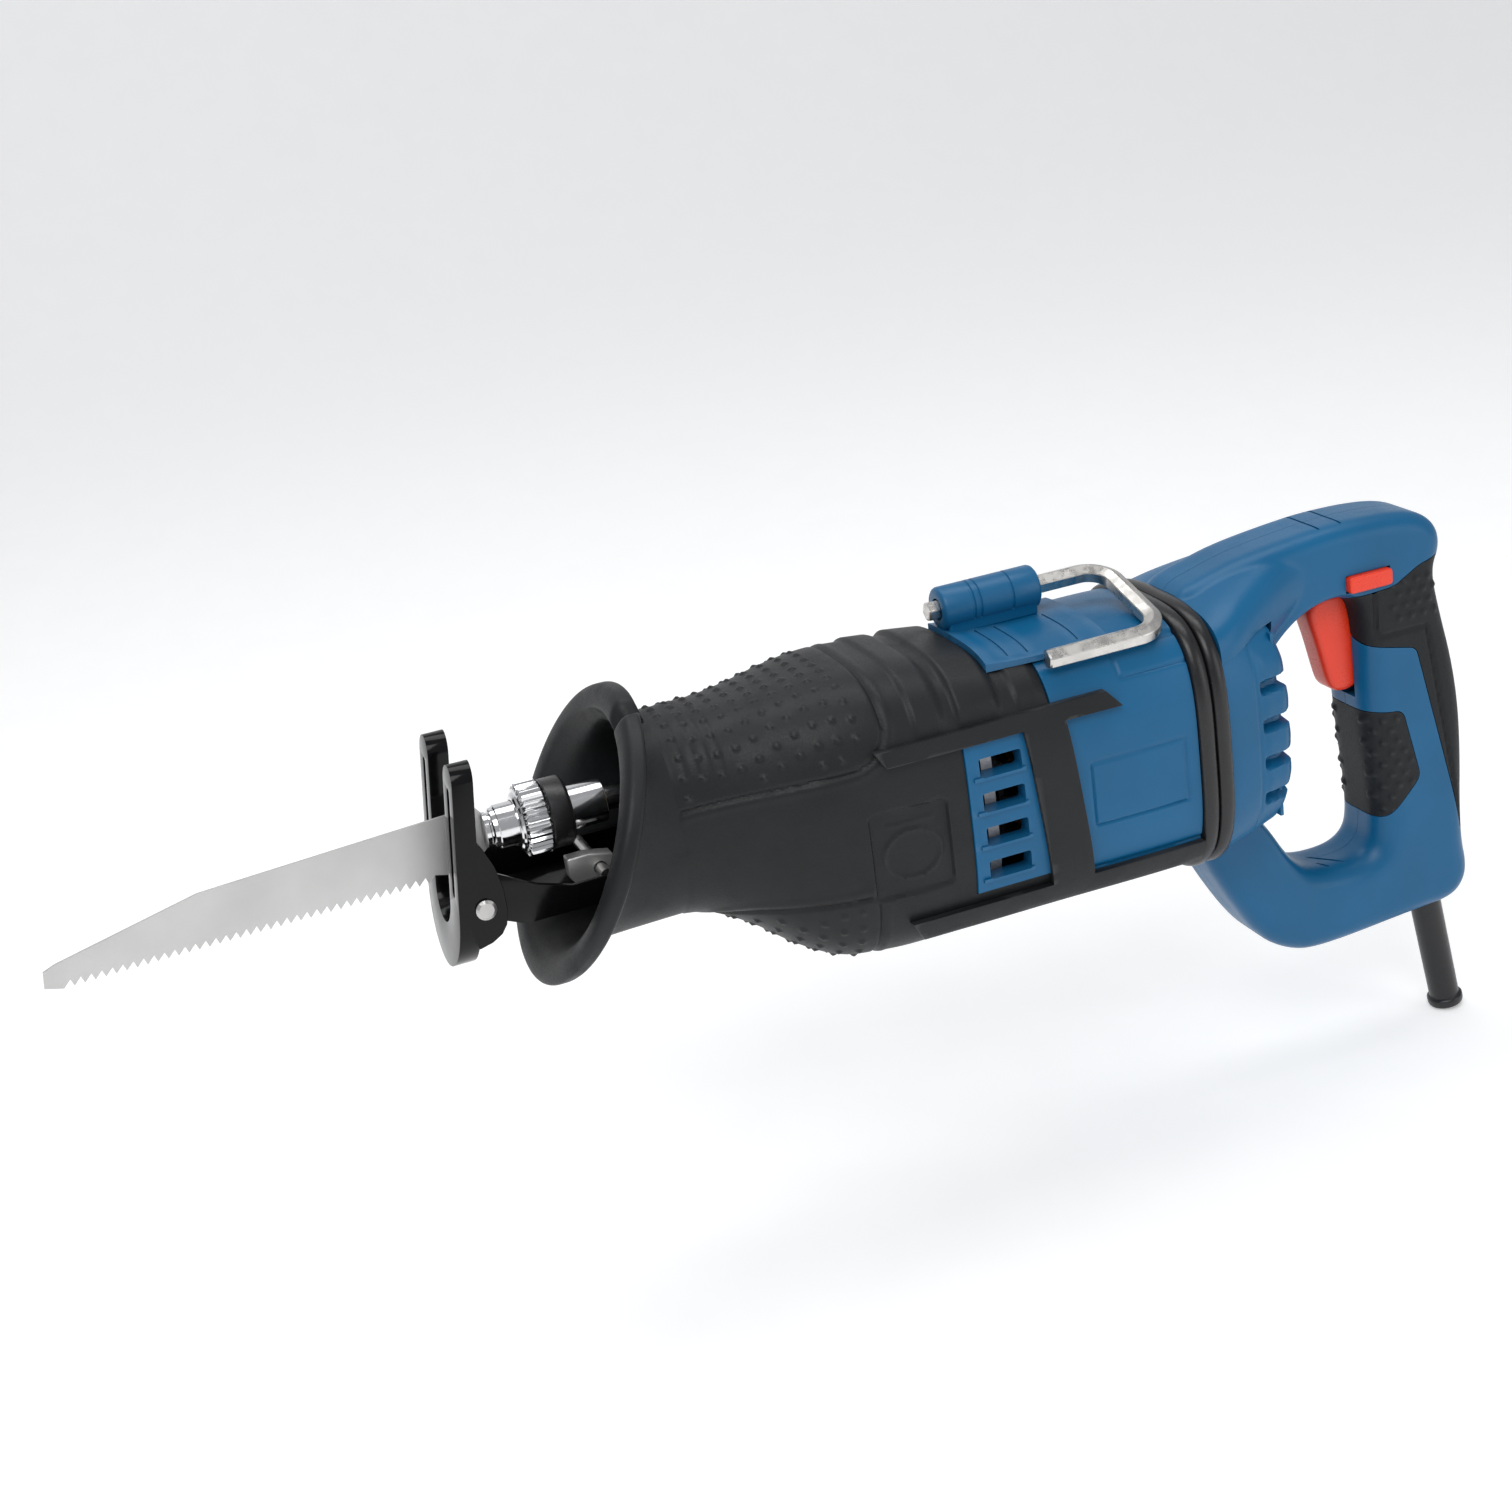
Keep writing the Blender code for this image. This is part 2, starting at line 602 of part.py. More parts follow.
def make_casting():
    """Aluminium gear casting: front wall with the plunger's boss, shoe channel and bearing web."""
    outer = BOOT_WALL + GAP + 0.2
    skin = body_solid(*CASTING_X, outer)
    hollow = body_solid(CASTING_X[0] + 7, CASTING_X[1] + 5, outer + 3)
    boss = rod((97, 0, 0), (150, 0, 0), 13)
    web = combined(body_solid(158, 202, outer + 1), ("INTERSECT", block((160, 200), (-60, 60), (-61, -47))))
    cored = cut(skin, hollow)
    solid = joined(cored, boss, web)
    bores = [rod((90, 0, 0), (155, 0, 0), 8.7 + GAP), rod((CRANK_X, 0, -70), (CRANK_X, 0, -40), 13 + GAP)]
    channel = block((90, 116), (-ARM_HALF - 0.4, ARM_HALF + 0.4), (-33.5, -22))
    part("gear_casting", cut(solid, *bores, channel), "casting")


def make_motor_housing():
    """Blue motor housing with flush side panels that carry the air slots."""
    under_boot = BOOT_WALL + GAP
    xs = [(x, under_boot) for x in stations_between(MOTOR_X[0], BOOT_REAR_X + GAP)]
    xs += [(BOOT_REAR_X + GAP + 0.1, 0), (MOTOR_X[1], 0)]
    outside = [body_ring(x, inset) for x, inset in xs]
    inside = [body_ring(x, 6.4) for x, _ in reversed(xs)]
    tube = loft([*outside, *inside, outside[0]], closed=True)
    band = body_tube(WINDOW_X[0] + GAP + 0.1, WINDOW_X[1], 0, 5)
    low, high = WINDOW_Z[0] + GAP, WINDOW_Z[1] - GAP
    panels = combined(band, ("INTERSECT", block((200, 260), (-80, 80), (low, high))))
    slots = []
    for z in (-9, -24, -39, -54):
        slots.append(block((212, 231), (-80, 80), (z - 4, z + 4)))
    part("motor_housing", cut(joined(tube, panels), *slots), "blue")


def make_bumpers():
    """Black rubber bumper on each flank: an upper rail, a strap and a lower rail in one piece."""
    outline = [(172, 10), (272, 10), (277, 3), (251, 3), (258, -70), (312, -70), (312, -80), (180, -80)]
    outline += [(184, -70), (242, -70), (234, 3), (178, 3)]
    for side, label in ((-1, "left"), (1, "right")):
        band = body_tube(165, 316, -2.4, -GAP)
        prism = plate(outline, tuple(sorted((side * 20, side * 60))))
        part(f"bumper_{label}", combined(band, ("INTERSECT", prism)), "rubber")


def make_rings():
    """Two soft rings between the motor housing and the handle."""
    for label, x0, x1 in (("front", RING_X[0], RING_X[1]), ("rear", RING_X[1] + GAP, RING_X[2])):
        middle = (x0 + x1) / 2
        loops = [(x0, 0), (x0 + 1.5, -2), (middle, -2.8), (x1 - 1.5, -2), (x1, 0), (x1, 7), (x0, 7), (x0, 0)]
        part(f"damping_ring_{label}", loft([body_ring(x, i) for x, i in loops], closed=True), "rubber")


def make_end_cap():
    """Rear cap of the motor housing: a cup with air louvres and the rear bearing's seat."""
    solid = body_solid(*CAP_X, 0)
    hollow = body_solid(CAP_X[0] - 3, CAP_X[1] - 4, 4)
    seat = rod((341, 0, MOTOR_Z), (CAP_X[1] - 1, 0, MOTOR_Z), 15)
    bore = rod((330, 0, MOTOR_Z), (356, 0, MOTOR_Z), 11 + GAP)
    louvres = []
    for side in (-1, 1):
        for z in (-8, -24, -40, -56):
            louvres.append(block((346, 356), tuple(sorted((side * 30, side * 60))), (z - 3, z + 3)))
    part("end_cap", cut(joined(cut(solid, hollow), seat), bore, *louvres, shoulder(-GAP, 320)), "blue")


# ---------------------------------------------------------------- handle

OUTER = smoothed(list(HANDLE_OUTLINE), 1)
OPENING = smoothed(list(OPENING_OUTLINE))
SCREWS = ((372, 24), (445, 27), (454, -128), (376, -136))
GUARD_TOP = (450.5, 0.0, -138.0)
GUARD_AXIS = (0.17, 0.0, -1.0)


def shoulder(inset, x0=326.0):
    """The solid flare that runs from x0, near the housing's rear, to the top of the handle."""
    rows = [(x0, *SHOULDER[0][1:])] + [row for row in SHOULDER if row[0] > x0 + 1]
    return loft([section(*row, inset=inset, sides=32) for row in rows])


def opening_form(inset):
    """The hand opening, with the handle's surface moved in by inset. It opens out at the sides."""
    levels = edge_levels(HANDLE_HALF - inset, OPENING_ROUND - inset)
    levels = [(-60, 1)] + levels + [(60, 1)]
    rings = []
    for y, turn in levels:
        ring = grown(OPENING, inset + np.maximum(OPENING[:, 2] - inset, 0) * turn)
        rings.append([(x, y, z) for x, z in ring])
    return loft(rings)


def handle_form(inset):
    """The handle's slab with its hand opening, with every surface moved in by inset."""
    slab = pillow(OUTER, HANDLE_HALF - inset, -inset, HANDLE_ROUND - inset)
    return cut(slab, opening_form(inset))


def make_handle():
    """Two half shells with recesses for the soft grips, and openings for the controls."""
    recesses = []
    for outline in (REAR_PAD_OUTLINE, FRONT_PAD_OUTLINE):
        recesses.append(cut(plate(list(outline), (-30, 30)), handle_form(PAD_DEPTH)))
    cap_space = body_solid(CAP_X[0] - GAP, CAP_X[1] + GAP, -GAP)
    front_space = block((300, CAP_X[0]), (-60, 60), (-200, 60))
    trigger_slot = block((400, 431), (-8.3, 8.3), (-42.5, 9.9))
    lock_slot = block((406.7, 429.3), (-40, 40), (10.9, 19.1))
    cord_hole = rod(GUARD_TOP, np.add(GUARD_TOP, np.multiply(GUARD_AXIS, 30)), 7.3 + GAP)
    bosses = [rod((x, -60, z), (x, 60, z), 5.2, 14) for x, z in SCREWS]
    pocket = cut(handle_form(HANDLE_WALL), *bosses)
    flare_pocket = loft([section(320, 5.5, 37, 15, 2.6, sides=24), section(350, 13.5, 25, 12, 2.6, sides=24)])
    for x, z in SCREWS:
        recesses += [rod((x, -9, z), (x, 30, z), 2.5, 14), rod((x, 17.1, z), (x, 60, z), 4.2, 14)]
    slab = cut(handle_form(0), trigger_slot, lock_slot, cord_hole, pocket, cap_space, front_space)
    flare = cut(shoulder(0, CAP_X[0] + 0.2), opening_form(0.05), flare_pocket)
    form = cut(joined(slab, flare), *recesses)
    for side, label in ((-1, "left"), (1, "right")):
        side_space = block((300, 500), tuple(sorted((side * 0.15, side * 60))), (-200, 60))
        half = combined(form.copy(), ("INTERSECT", side_space))
        part(f"handle_{label}", half, "blue")

    for name, outline in (("rear_grip", REAR_PAD_OUTLINE), ("front_grip", FRONT_PAD_OUTLINE)):
        prism = plate(grown(list(outline), -GAP), (-30, 30))
        skin = cut(handle_form(0), handle_form(PAD_DEPTH - GAP), lock_slot.copy(), trigger_slot.copy())
        part(name, combined(skin, ("INTERSECT", prism)), "rubber")


def make_controls():
    """Trigger, lock button, switch, speed electronics and the cord's exit."""
    outline = [(395.5, 3), (399, 7.6), (424, 7.6), (424, -34), (416, -38), (410, -38.5), (405, -36)]
    outline += [(402.5, -27), (399.5, -14), (397, -4)]
    part("trigger", plate(outline, (-7.5, 7.5)), "red")
    part("lock_button", block((407, 429), (-22.5, 21), (11.2, 18.8)), "red")
    part("switch_body", block((434, 452), (-12, 12), (-48, -8)), "black_plastic")
    part("speed_module", block((433, 456), (-11, 11), (-112, -60)), "black_plastic")
    part("cord_clamp", block((434, 447), (-9, 9), (-134, -124)), "black_plastic")
    profile = ((0, 9.4), (3, 9.4), (3, 7.3), (72.5, 7), (73, 8.3), (76.5, 8.3), (77.2, 7.4), (77.2, 4.3), (0, 4.3), (0, 9.4))
    part("cord_guard", turned(profile, GUARD_TOP, GUARD_AXIS, 24), "rubber")
    for i, (x, z) in enumerate(SCREWS):
        profile = ((0, 1.6), (1, 2.2), (25.4, 2.2), (25.4, 3.9), (26.6, 3.9), (27.4, 3.0))
        part(f"handle_screw_{i + 1}", turned(profile, (x, -8, z), (0, 1, 0), 14), "steel")


# ---------------------------------------------------------------- hanging hook


def make_hook():
    """Hexagonal bar hook that swings in a saddle on top of the housing."""
    band = body_tube(227, 283, -3.2, -0.5)
    top = combined(band, ("INTERSECT", block((220, 290), (-34, 22), (0, 60))))
    tube = rod((227, HOOK_Y, HOOK_Z), (272, HOOK_Y, HOOK_Z), 9.4)
    foot = block((229, 270), (HOOK_Y - 7, HOOK_Y + 7), (29.5, 36))
    bore = rod((200, HOOK_Y, HOOK_Z), (300, HOOK_Y, HOOK_Z), HOOK_R + 0.5)
    part("hook_saddle", cut(joined(top, tube, foot), bore), "blue")

    far, near = np.array((0, HOOK_Y, HOOK_Z)), np.array((0, -41.0, 25.5))
    across = (near - far) / np.linalg.norm(near - far)
    width = float(np.linalg.norm(near - far))
    bend, reach = 12.0, 305.0
    path = [(222, 0)]
    path += arc(reach - bend, bend, bend, -90, 0, 6)
    path += arc(reach - bend, width - bend, bend, 0, 90, 6)
    path += [(251, width)]
    curve = bpy.data.curves.new("hook", "CURVE")
    curve.dimensions = "3D"
    curve.bevel_depth = HOOK_R
    curve.bevel_resolution = 1
    curve.use_fill_caps = True
    line = curve.splines.new("POLY")
    line.points.add(len(path) - 1)
    for point, (x, out) in zip(line.points, path):
        point.co = (*(far + across * out + np.array((x, 0, 0))), 1)
    drawn = bpy.data.objects.new("hook_path", curve)
    cutters.objects.link(drawn)
    graph = bpy.context.evaluated_depsgraph_get()
    mesh = bpy.data.meshes.new_from_object(drawn.evaluated_get(graph))
    bpy.data.objects.remove(drawn)

    def build(bm):
        bm.from_mesh(mesh)
        bmesh.ops.remove_doubles(bm, verts=bm.verts, dist=0.001)

    part("hanging_hook", mesh_from(build), "steel")


make_blade()
make_clamp()
make_shoe()
make_drive()
make_motor()
make_boot()
make_casting()
make_motor_housing()
make_bumpers()
make_rings()
make_end_cap()
make_handle()
make_controls()
make_hook()
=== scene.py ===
"""The looks of a corded reciprocating saw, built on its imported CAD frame. Blender 4.5.

Lengths in the tables are millimetres in the tool's own frame: X runs back along the plunger
from the shoe, Y across and Z up, with the plunger's axis as the X axis.
"""

import math

import bmesh
import bpy
import numpy as np
from mathutils import Matrix, Vector


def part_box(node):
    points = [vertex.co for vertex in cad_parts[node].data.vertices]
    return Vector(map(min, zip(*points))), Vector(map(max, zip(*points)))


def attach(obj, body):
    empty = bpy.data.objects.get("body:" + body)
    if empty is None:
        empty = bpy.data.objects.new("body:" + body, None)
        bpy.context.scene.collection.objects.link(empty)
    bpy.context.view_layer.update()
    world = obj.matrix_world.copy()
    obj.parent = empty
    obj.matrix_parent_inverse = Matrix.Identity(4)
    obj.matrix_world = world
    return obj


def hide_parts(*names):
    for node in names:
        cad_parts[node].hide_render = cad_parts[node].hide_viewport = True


MM = 0.001
BLADE_REACH = 158.0  # from the shoe's reference plane to the blade's tip

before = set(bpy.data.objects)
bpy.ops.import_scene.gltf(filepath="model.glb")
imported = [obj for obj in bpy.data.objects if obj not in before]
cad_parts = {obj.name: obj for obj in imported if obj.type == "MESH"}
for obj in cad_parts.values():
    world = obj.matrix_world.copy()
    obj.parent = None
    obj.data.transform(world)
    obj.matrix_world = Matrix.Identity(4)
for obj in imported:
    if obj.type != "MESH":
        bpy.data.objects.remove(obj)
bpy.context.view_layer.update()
ROD_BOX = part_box("plunger_rod")
ORIGIN = Vector((
    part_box("blade")[0][0] + BLADE_REACH * MM,
    (ROD_BOX[0][1] + ROD_BOX[1][1]) / 2,
    (ROD_BOX[0][2] + ROD_BOX[1][2]) / 2,
))

# Stations along the body: x, centre height, half width, half height, squareness
BODY = (
    (88, -12.0, 34.0, 42.5, 2.3), (100, -13.0, 35.0, 43.5, 2.4), (118, -18.0, 39.0, 48.0, 2.6),
    (135, -24.0, 44.0, 55.0, 2.9), (150, -27.0, 48.0, 60.0, 3.1), (168, -27.5, 50.0, 62.0, 3.3),
    (200, -29.0, 50.5, 61.0, 3.4), (236, -31.0, 50.5, 58.5, 3.4), (312, -31.5, 50.5, 58.0, 3.4),
    (330, -31.5, 49.5, 57.0, 3.4), (362, -32.0, 44.0, 50.0, 3.0),
)
# The boot's guard from the inside of its mouth, round the rim and back to the body,
# with the lean last
GUARD = (
    (78.0, -12.4, 33.0, 39.8, 2.2, 0.24), (68.0, -12.2, 35.5, 40.6, 2.1, 0.34),
    (60.0, -11.8, 40.0, 42.0, 2.0, 0.42), (55.5, -11.3, 46.5, 44.5, 2.0, 0.47),
    (53.5, -11.3, 50.5, 46.4, 2.0, 0.47), (51.9, -11.3, 53.0, 47.8, 2.0, 0.47),
    (51.5, -11.3, 56.5, 50.5, 2.0, 0.47), (51.7, -11.3, 60.0, 53.6, 2.0, 0.47),
    (53.2, -11.3, 62.2, 55.7, 2.0, 0.47), (56.0, -11.3, 62.3, 55.8, 2.0, 0.47),
    (58.8, -11.3, 62.2, 55.7, 2.0, 0.47), (60.2, -11.3, 60.5, 54.0, 2.0, 0.47),
    (60.6, -11.3, 56.0, 51.0, 2.0, 0.47), (61.0, -11.5, 49.5, 48.0, 2.0, 0.46),
    (62.5, -11.8, 44.0, 45.6, 2.0, 0.43), (66.0, -12.0, 40.0, 44.2, 2.0, 0.36),
    (72.0, -12.2, 37.0, 43.3, 2.1, 0.26), (82.0, -12.0, 34.6, 42.7, 2.3, 0.09),
    (90.0, -12.1, 34.0, 42.5, 2.3, 0.0),
)
# The handle's shoulders: x, centre height, half width, half height, squareness
SHOULDER = (
    (328, 4.5, 46.8, 21.0, 3.0), (340, 8.0, 43.0, 22.0, 2.8), (352, 11.0, 36.0, 23.0, 2.6),
    (366, 16.5, 28.0, 20.5, 2.5), (380, 21.0, 21.5, 18.0, 2.5), (393, 24.0, 17.5, 15.0, 2.5),
)
HANDLE_OUTLINE = (
    (324, 28), (345, 34), (362, 38), (391, 41), (409, 42), (434, 41), (450, 37.5), (458, 30),
    (459, 20), (454.5, 11), (457, -5), (464.5, -38), (467, -69), (465, -119), (468.5, -138),
    (464, -148), (456, -152.5), (443, -153), (385, -157.5), (369, -153), (355, -142), (331, -99),
    (318, -58), (316, -10),
)
# The hand opening: x, z and how far its edge opens out at the sides
OPENING_OUTLINE = (
    (352, -40, 3), (352, -25, 3), (366, -11, 3), (380, 2.5, 3), (394, 8.5, 3), (408, 8.5, 4),
    (415, 1, 8), (415.5, -50, 12), (421, -104, 12), (416, -119, 12), (388, -119.5, 10),
    (376, -110, 7), (362, -86, 4), (352, -76, 3),
)
REAR_PAD = (
    (431, 9), (444, 16), (480, 24), (480, -118), (463, -118), (441, -22), (416, -16), (409, 8),
)
FRONT_PAD = ((398, -46), (433, -50), (441, -84), (424, -101), (398, -101))
HANDLE_HALF, HANDLE_ROUND, OPENING_ROUND = 19.5, 9.0, 12.0
BOOT_REAR_X, BOOT_WALL = 248.0, 3.0
WINDOW_X, WINDOW_Z = (206.0, 250.0), (-64.0, 3.0)
RINGS = ((312.3, 319.9), (320.2, 327.7))
SCREWS = ((372, 24), (445, 27), (454, -128), (376, -136))
GUARD_TOP, GUARD_AXIS = (450.5, 0.0, -138.0), (0.17, 0.0, -1.0)
HOOK_Y, HOOK_Z, HOOK_R = 10.0, 40.0, 4.3
HOOK_REACH, HOOK_BEND = 305.0, 12.0
HOOK_TIP_Y, HOOK_TIP_Z = -41.0, 25.5  # where the free leg lies
CLAMP_NOSE = (18.0, 0, 0)
COLLAR_X, SOFT_RING_X = 31.5, 43.8
COLLAR_BORE_R, KNURLS = 9.3, 34
SHOE_LEAN, SHOE_FACE_X, SHOE_T, SHOE_DEPTH = 0.13, 0.5, 2.4, 8.5
SHOE_HALF, SHOE_SLOT_HALF, ARM_HALF = 28.0, 13.0, 24.9
PIVOT_X, PIVOT_Z = 8.5, -21.0
LEVER_X, LEVER_Z = 60.0, -23.5
VENT_HEIGHTS, VENT_HALF = (-9, -24, -39, -54), 4
LOUVRE_HEIGHTS = (-10, -27, -44, -61)
# Small folds behind the guard, and raised bands over the top: start, end and height
FOLDS = (96, 101, 106, 111)
RIBS = ((187, 203, 1.5), (206, 228, 2.3), (233, 248, 1.2))


# ---------------------------------------------------------------- materials


def finish(name, colour, rough, metal=0.0, grain=900.0, bump=0.1, tone=0.15, spread=0.06,
           stretch=(1, 1, 1), worn=0.0, marks=0.0, shine=0.5):
    """A moulded, painted or metal finish: fine grain in the bump and gloss, broad changes of tone,
    paler worn edges and faint handling marks."""
    made = bpy.data.materials.new(name)
    made.use_nodes = True
    nodes, links = made.node_tree.nodes, made.node_tree.links
    shader = nodes["Principled BSDF"]
    shader.inputs["Metallic"].default_value = metal
    shader.inputs["Specular IOR Level"].default_value = shine
    place = nodes.new("ShaderNodeTexCoord")
    scaled = nodes.new("ShaderNodeMapping")
    scaled.inputs["Scale"].default_value = stretch
    links.new(place.outputs["Object"], scaled.inputs["Vector"])

    def noise(scale, detail, source):
        node = nodes.new("ShaderNodeTexNoise")
        node.inputs["Scale"].default_value = scale
        node.inputs["Detail"].default_value = detail
        links.new(source, node.inputs["Vector"])
        return node.outputs["Fac"]

    def ranged(value, low, high, to_low, to_high):
        node = nodes.new("ShaderNodeMapRange")
        for socket, number in zip(node.inputs[1:5], (low, high, to_low, to_high)):
            socket.default_value = number
        links.new(value, node.inputs[0])
        return node.outputs[0]

    def mixed(factor, a, b):
        node = nodes.new("ShaderNodeMix")
        node.data_type = "RGBA"
        links.new(factor, node.inputs["Factor"])
        for socket, value in ((node.inputs[6], a), (node.inputs[7], b)):
            if isinstance(value, tuple):
                socket.default_value = (*value, 1)
            else:
                links.new(value, socket)
        return node.outputs[2]

    fine = noise(grain, 3.0, scaled.outputs[0])
    broad = noise(24.0, 3.0, place.outputs["Object"])
    dark = tuple(c * (1 - tone) for c in colour)
    pale = tuple(min(1.0, c * (1 + tone)) for c in colour)
    shade = mixed(ranged(broad, 0.35, 0.65, 0, 1), dark, pale)
    if worn:
        edge = nodes.new("ShaderNodeNewGeometry").outputs["Pointiness"]
        rubbed = tuple(min(1.0, c + worn) for c in colour)
        shade = mixed(ranged(edge, 0.52, 0.62, 0, 0.8), shade, rubbed)
    links.new(shade, shader.inputs["Base Color"])
    gloss = ranged(fine, 0.3, 0.7, max(0.02, rough - spread), min(1, rough + spread))
    if marks:
        added = nodes.new("ShaderNodeMath")
        added.operation = "ADD"
        links.new(gloss, added.inputs[0])
        patches = noise(70.0, 6.0, place.outputs["Object"])
        links.new(ranged(patches, 0.5, 0.75, 0, marks), added.inputs[1])
        gloss = added.outputs[0]
    links.new(gloss, shader.inputs["Roughness"])
    raised = nodes.new("ShaderNodeBump")
    raised.inputs["Strength"].default_value = bump
    raised.inputs["Distance"].default_value = 0.0004
    links.new(fine, raised.inputs["Height"])
    links.new(raised.outputs[0], shader.inputs["Normal"])
    return made


FINISHES = {
    "blue": finish("blue_plastic", (0.002, 0.100, 0.232), 0.36, shine=0.35, grain=1500,
        bump=0.10, tone=0.06, worn=0.02, marks=0.10),
    "rubber": finish("black_rubber", (0.009, 0.010, 0.011), 0.46, grain=1300, bump=0.22,
        tone=0.12, worn=0.03, marks=0.12, shine=0.3),
    "ring_rubber": finish("ring_rubber", (0.006, 0.006, 0.007), 0.33, grain=900, bump=0.06,
        tone=0.1, worn=0.02),
    "grip": finish("grip_rubber", (0.008, 0.009, 0.011), 0.55, grain=1200, bump=0.28, tone=0.12,
        worn=0.03, shine=0.3),
    "red": finish("red_plastic", (0.80, 0.042, 0.012), 0.30, grain=1300, bump=0.06, tone=0.05,
        marks=0.05),
    "chrome": finish("chrome", (0.74, 0.74, 0.75), 0.12, 1.0, grain=700, bump=0.01, tone=0.05,
        spread=0.04, marks=0.05),
    "steel": finish("ground_steel", (0.55, 0.54, 0.53), 0.30, 1.0, grain=420, bump=0.12,
        tone=0.14, marks=0.15),
    "hook_steel": finish("worn_steel", (0.60, 0.58, 0.55), 0.30, 1.0, grain=260, bump=0.35,
        tone=0.25, spread=0.14, marks=0.12, worn=0.15),
    "blade_steel": finish("blade_steel", (0.56, 0.56, 0.55), 0.42, 0.75, grain=260, bump=0.10,
        tone=0.06, stretch=(4, 1, 9)),
    "gloss_black": finish("gloss_black", (0.003, 0.003, 0.0035), 0.13, grain=420, bump=0.02,
        tone=0.1, spread=0.03, marks=0.05, shine=0.22),
    "casting": finish("cast_alloy", (0.42, 0.42, 0.43), 0.52, 0.9, grain=700, bump=0.45, tone=0.15),
    "copper": finish("wound_copper", (0.62, 0.25, 0.10), 0.36, 0.9, grain=900, bump=0.5,
        tone=0.15, stretch=(1, 1, 4)),
    "bronze": finish("sintered_bronze", (0.50, 0.33, 0.13), 0.42, 0.9, grain=900, bump=0.2),
    "laminated": finish("laminated_iron", (0.22, 0.22, 0.23), 0.45, 0.8, grain=700, bump=0.5,
        stretch=(9, 1, 1)),
    "carbon": finish("carbon", (0.03, 0.03, 0.032), 0.6, grain=900, bump=0.2),
    "black_plastic": finish("black_plastic", (0.016, 0.016, 0.017), 0.45, grain=1200, bump=0.15),
}

KEPT = {
    "blade": "blade_steel", "clamp_pin": "steel", "shoe_rivet_left": "steel", "shoe_rivet_right": "steel",
    "shoe_lever_bolt": "steel", "plunger_rod": "chrome", "yoke": "steel",
    "front_bush": "bronze", "rear_bush": "bronze", "crank_gear": "steel", "crank_pin": "steel",
    "gear_shaft": "steel", "gear_bearing": "steel", "armature_shaft": "steel", "bearing_front": "steel",
    "bearing_rear": "steel", "bearing_bracket": "casting", "fan": "black_plastic",
    "armature_core": "laminated", "commutator": "copper", "stator_core": "laminated",
    "field_coil_front": "copper", "field_coil_rear": "copper", "brush_holder_left": "bronze",
    "brush_holder_right": "bronze", "brush_left": "carbon", "brush_right": "carbon",
    "gear_casting": "casting", "switch_body": "black_plastic", "speed_module": "black_plastic",
    "cord_clamp": "black_plastic",
}


# ---------------------------------------------------------------- mesh helpers


def mesh_from(build):
    """A mesh in tool-frame millimetres, facing outwards, from a function that fills a bmesh."""
    bm = bmesh.new()
    build(bm)
    bmesh.ops.recalc_face_normals(bm, faces=bm.faces)
    if bm.calc_volume(signed=True) < 0:
        bmesh.ops.reverse_faces(bm, faces=bm.faces)
    mesh = bpy.data.meshes.new("shape")
    bm.to_mesh(mesh)
    bm.free()
    return mesh


def applied(mesh, kind, **settings):
    """The mesh after one modifier."""
    holder = bpy.data.objects.new("holder", mesh)
    bpy.context.scene.collection.objects.link(holder)
    tool = holder.modifiers.new(kind.title(), kind)
    for key, value in settings.items():
        setattr(tool, key, value)
    graph = bpy.context.evaluated_depsgraph_get()
    made = bpy.data.meshes.new_from_object(holder.evaluated_get(graph))
    bpy.data.objects.remove(holder)
    return made


def combined(base, operation, *others):
    """Booleans of one mesh with several others."""
    for other in others:
        tool = bpy.data.objects.new("tool", other)
        bpy.context.scene.collection.objects.link(tool)
        base = applied(base, "BOOLEAN", operation=operation, solver="EXACT", object=tool)
        bpy.data.objects.remove(tool)
    return base


def cut(base, *others):
    return combined(base, "DIFFERENCE", *others)


def joined(base, *others):
    return combined(base, "UNION", *others)


def shared(base, other):
    return combined(base, "INTERSECT", other)


def bevelled(mesh, width, segments=3, angle=32):
    """The mesh with its sharp edges rounded."""
    return applied(mesh, "BEVEL", width=width, segments=segments, limit_method="ANGLE",
                   angle_limit=math.radians(angle), use_clamp_overlap=True)


def piece(name, mesh, look, body, *nodes, sharp=35):
    """A visible piece that stands for CAD nodes and rides on their body."""
    mesh.transform(Matrix.Translation(ORIGIN) @ Matrix.Scale(MM, 4))
    mesh.materials.clear()
    mesh.materials.append(FINISHES[look])
    mesh.shade_smooth()
    mesh.set_sharp_from_angle(angle=math.radians(sharp))
    made = bpy.data.objects.new(name, mesh)
    bpy.context.scene.collection.objects.link(made)
    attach(made, body)
    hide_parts(*nodes)


def block(x, y, z):
    def build(bm):
        for v in bmesh.ops.create_cube(bm, size=1)["verts"]:
            v.co = [(r[0] + r[1]) / 2 + c * (r[1] - r[0]) for c, r in zip(v.co, (x, y, z))]

    return mesh_from(build)


def loft(rings, closed=False):
    """A solid through rings of points: capped at both ends, or joined last to first."""
    points = np.array(rings, float)
    sides = points.shape[1]

    def build(bm):
        rows = [[bm.verts.new(p) for p in ring] for ring in points]
        pairs = list(zip(rows, rows[1:] + rows[:1])) if closed else list(zip(rows, rows[1:]))
        for a, b in pairs:
            for i in range(sides):
                j = (i + 1) % sides
                bm.faces.new((a[i], a[j], b[j], b[i]))
        if not closed:
            bm.faces.new(rows[0])
            bm.faces.new(rows[-1])

    return mesh_from(build)


def turned(profile, start, axis, sides=72, shape=None):
    """A solid of revolution from (distance along, radius) pairs. shape changes the radius by angle."""
    axis = Vector(axis).normalized()
    side = axis.orthogonal().normalized()
    other = axis.cross(side)
    closed = profile[0] == profile[-1]
    rings = []
    for along, radius in profile[:-1] if closed else profile:
        ring = []
        for i in range(sides):
            a = 2 * math.pi * i / sides
            r = shape(a, radius) if shape else radius
            ring.append(Vector(start) + axis * along + side * r * math.cos(a) + other * r * math.sin(a))
        rings.append(ring)
    return loft(rings, closed)


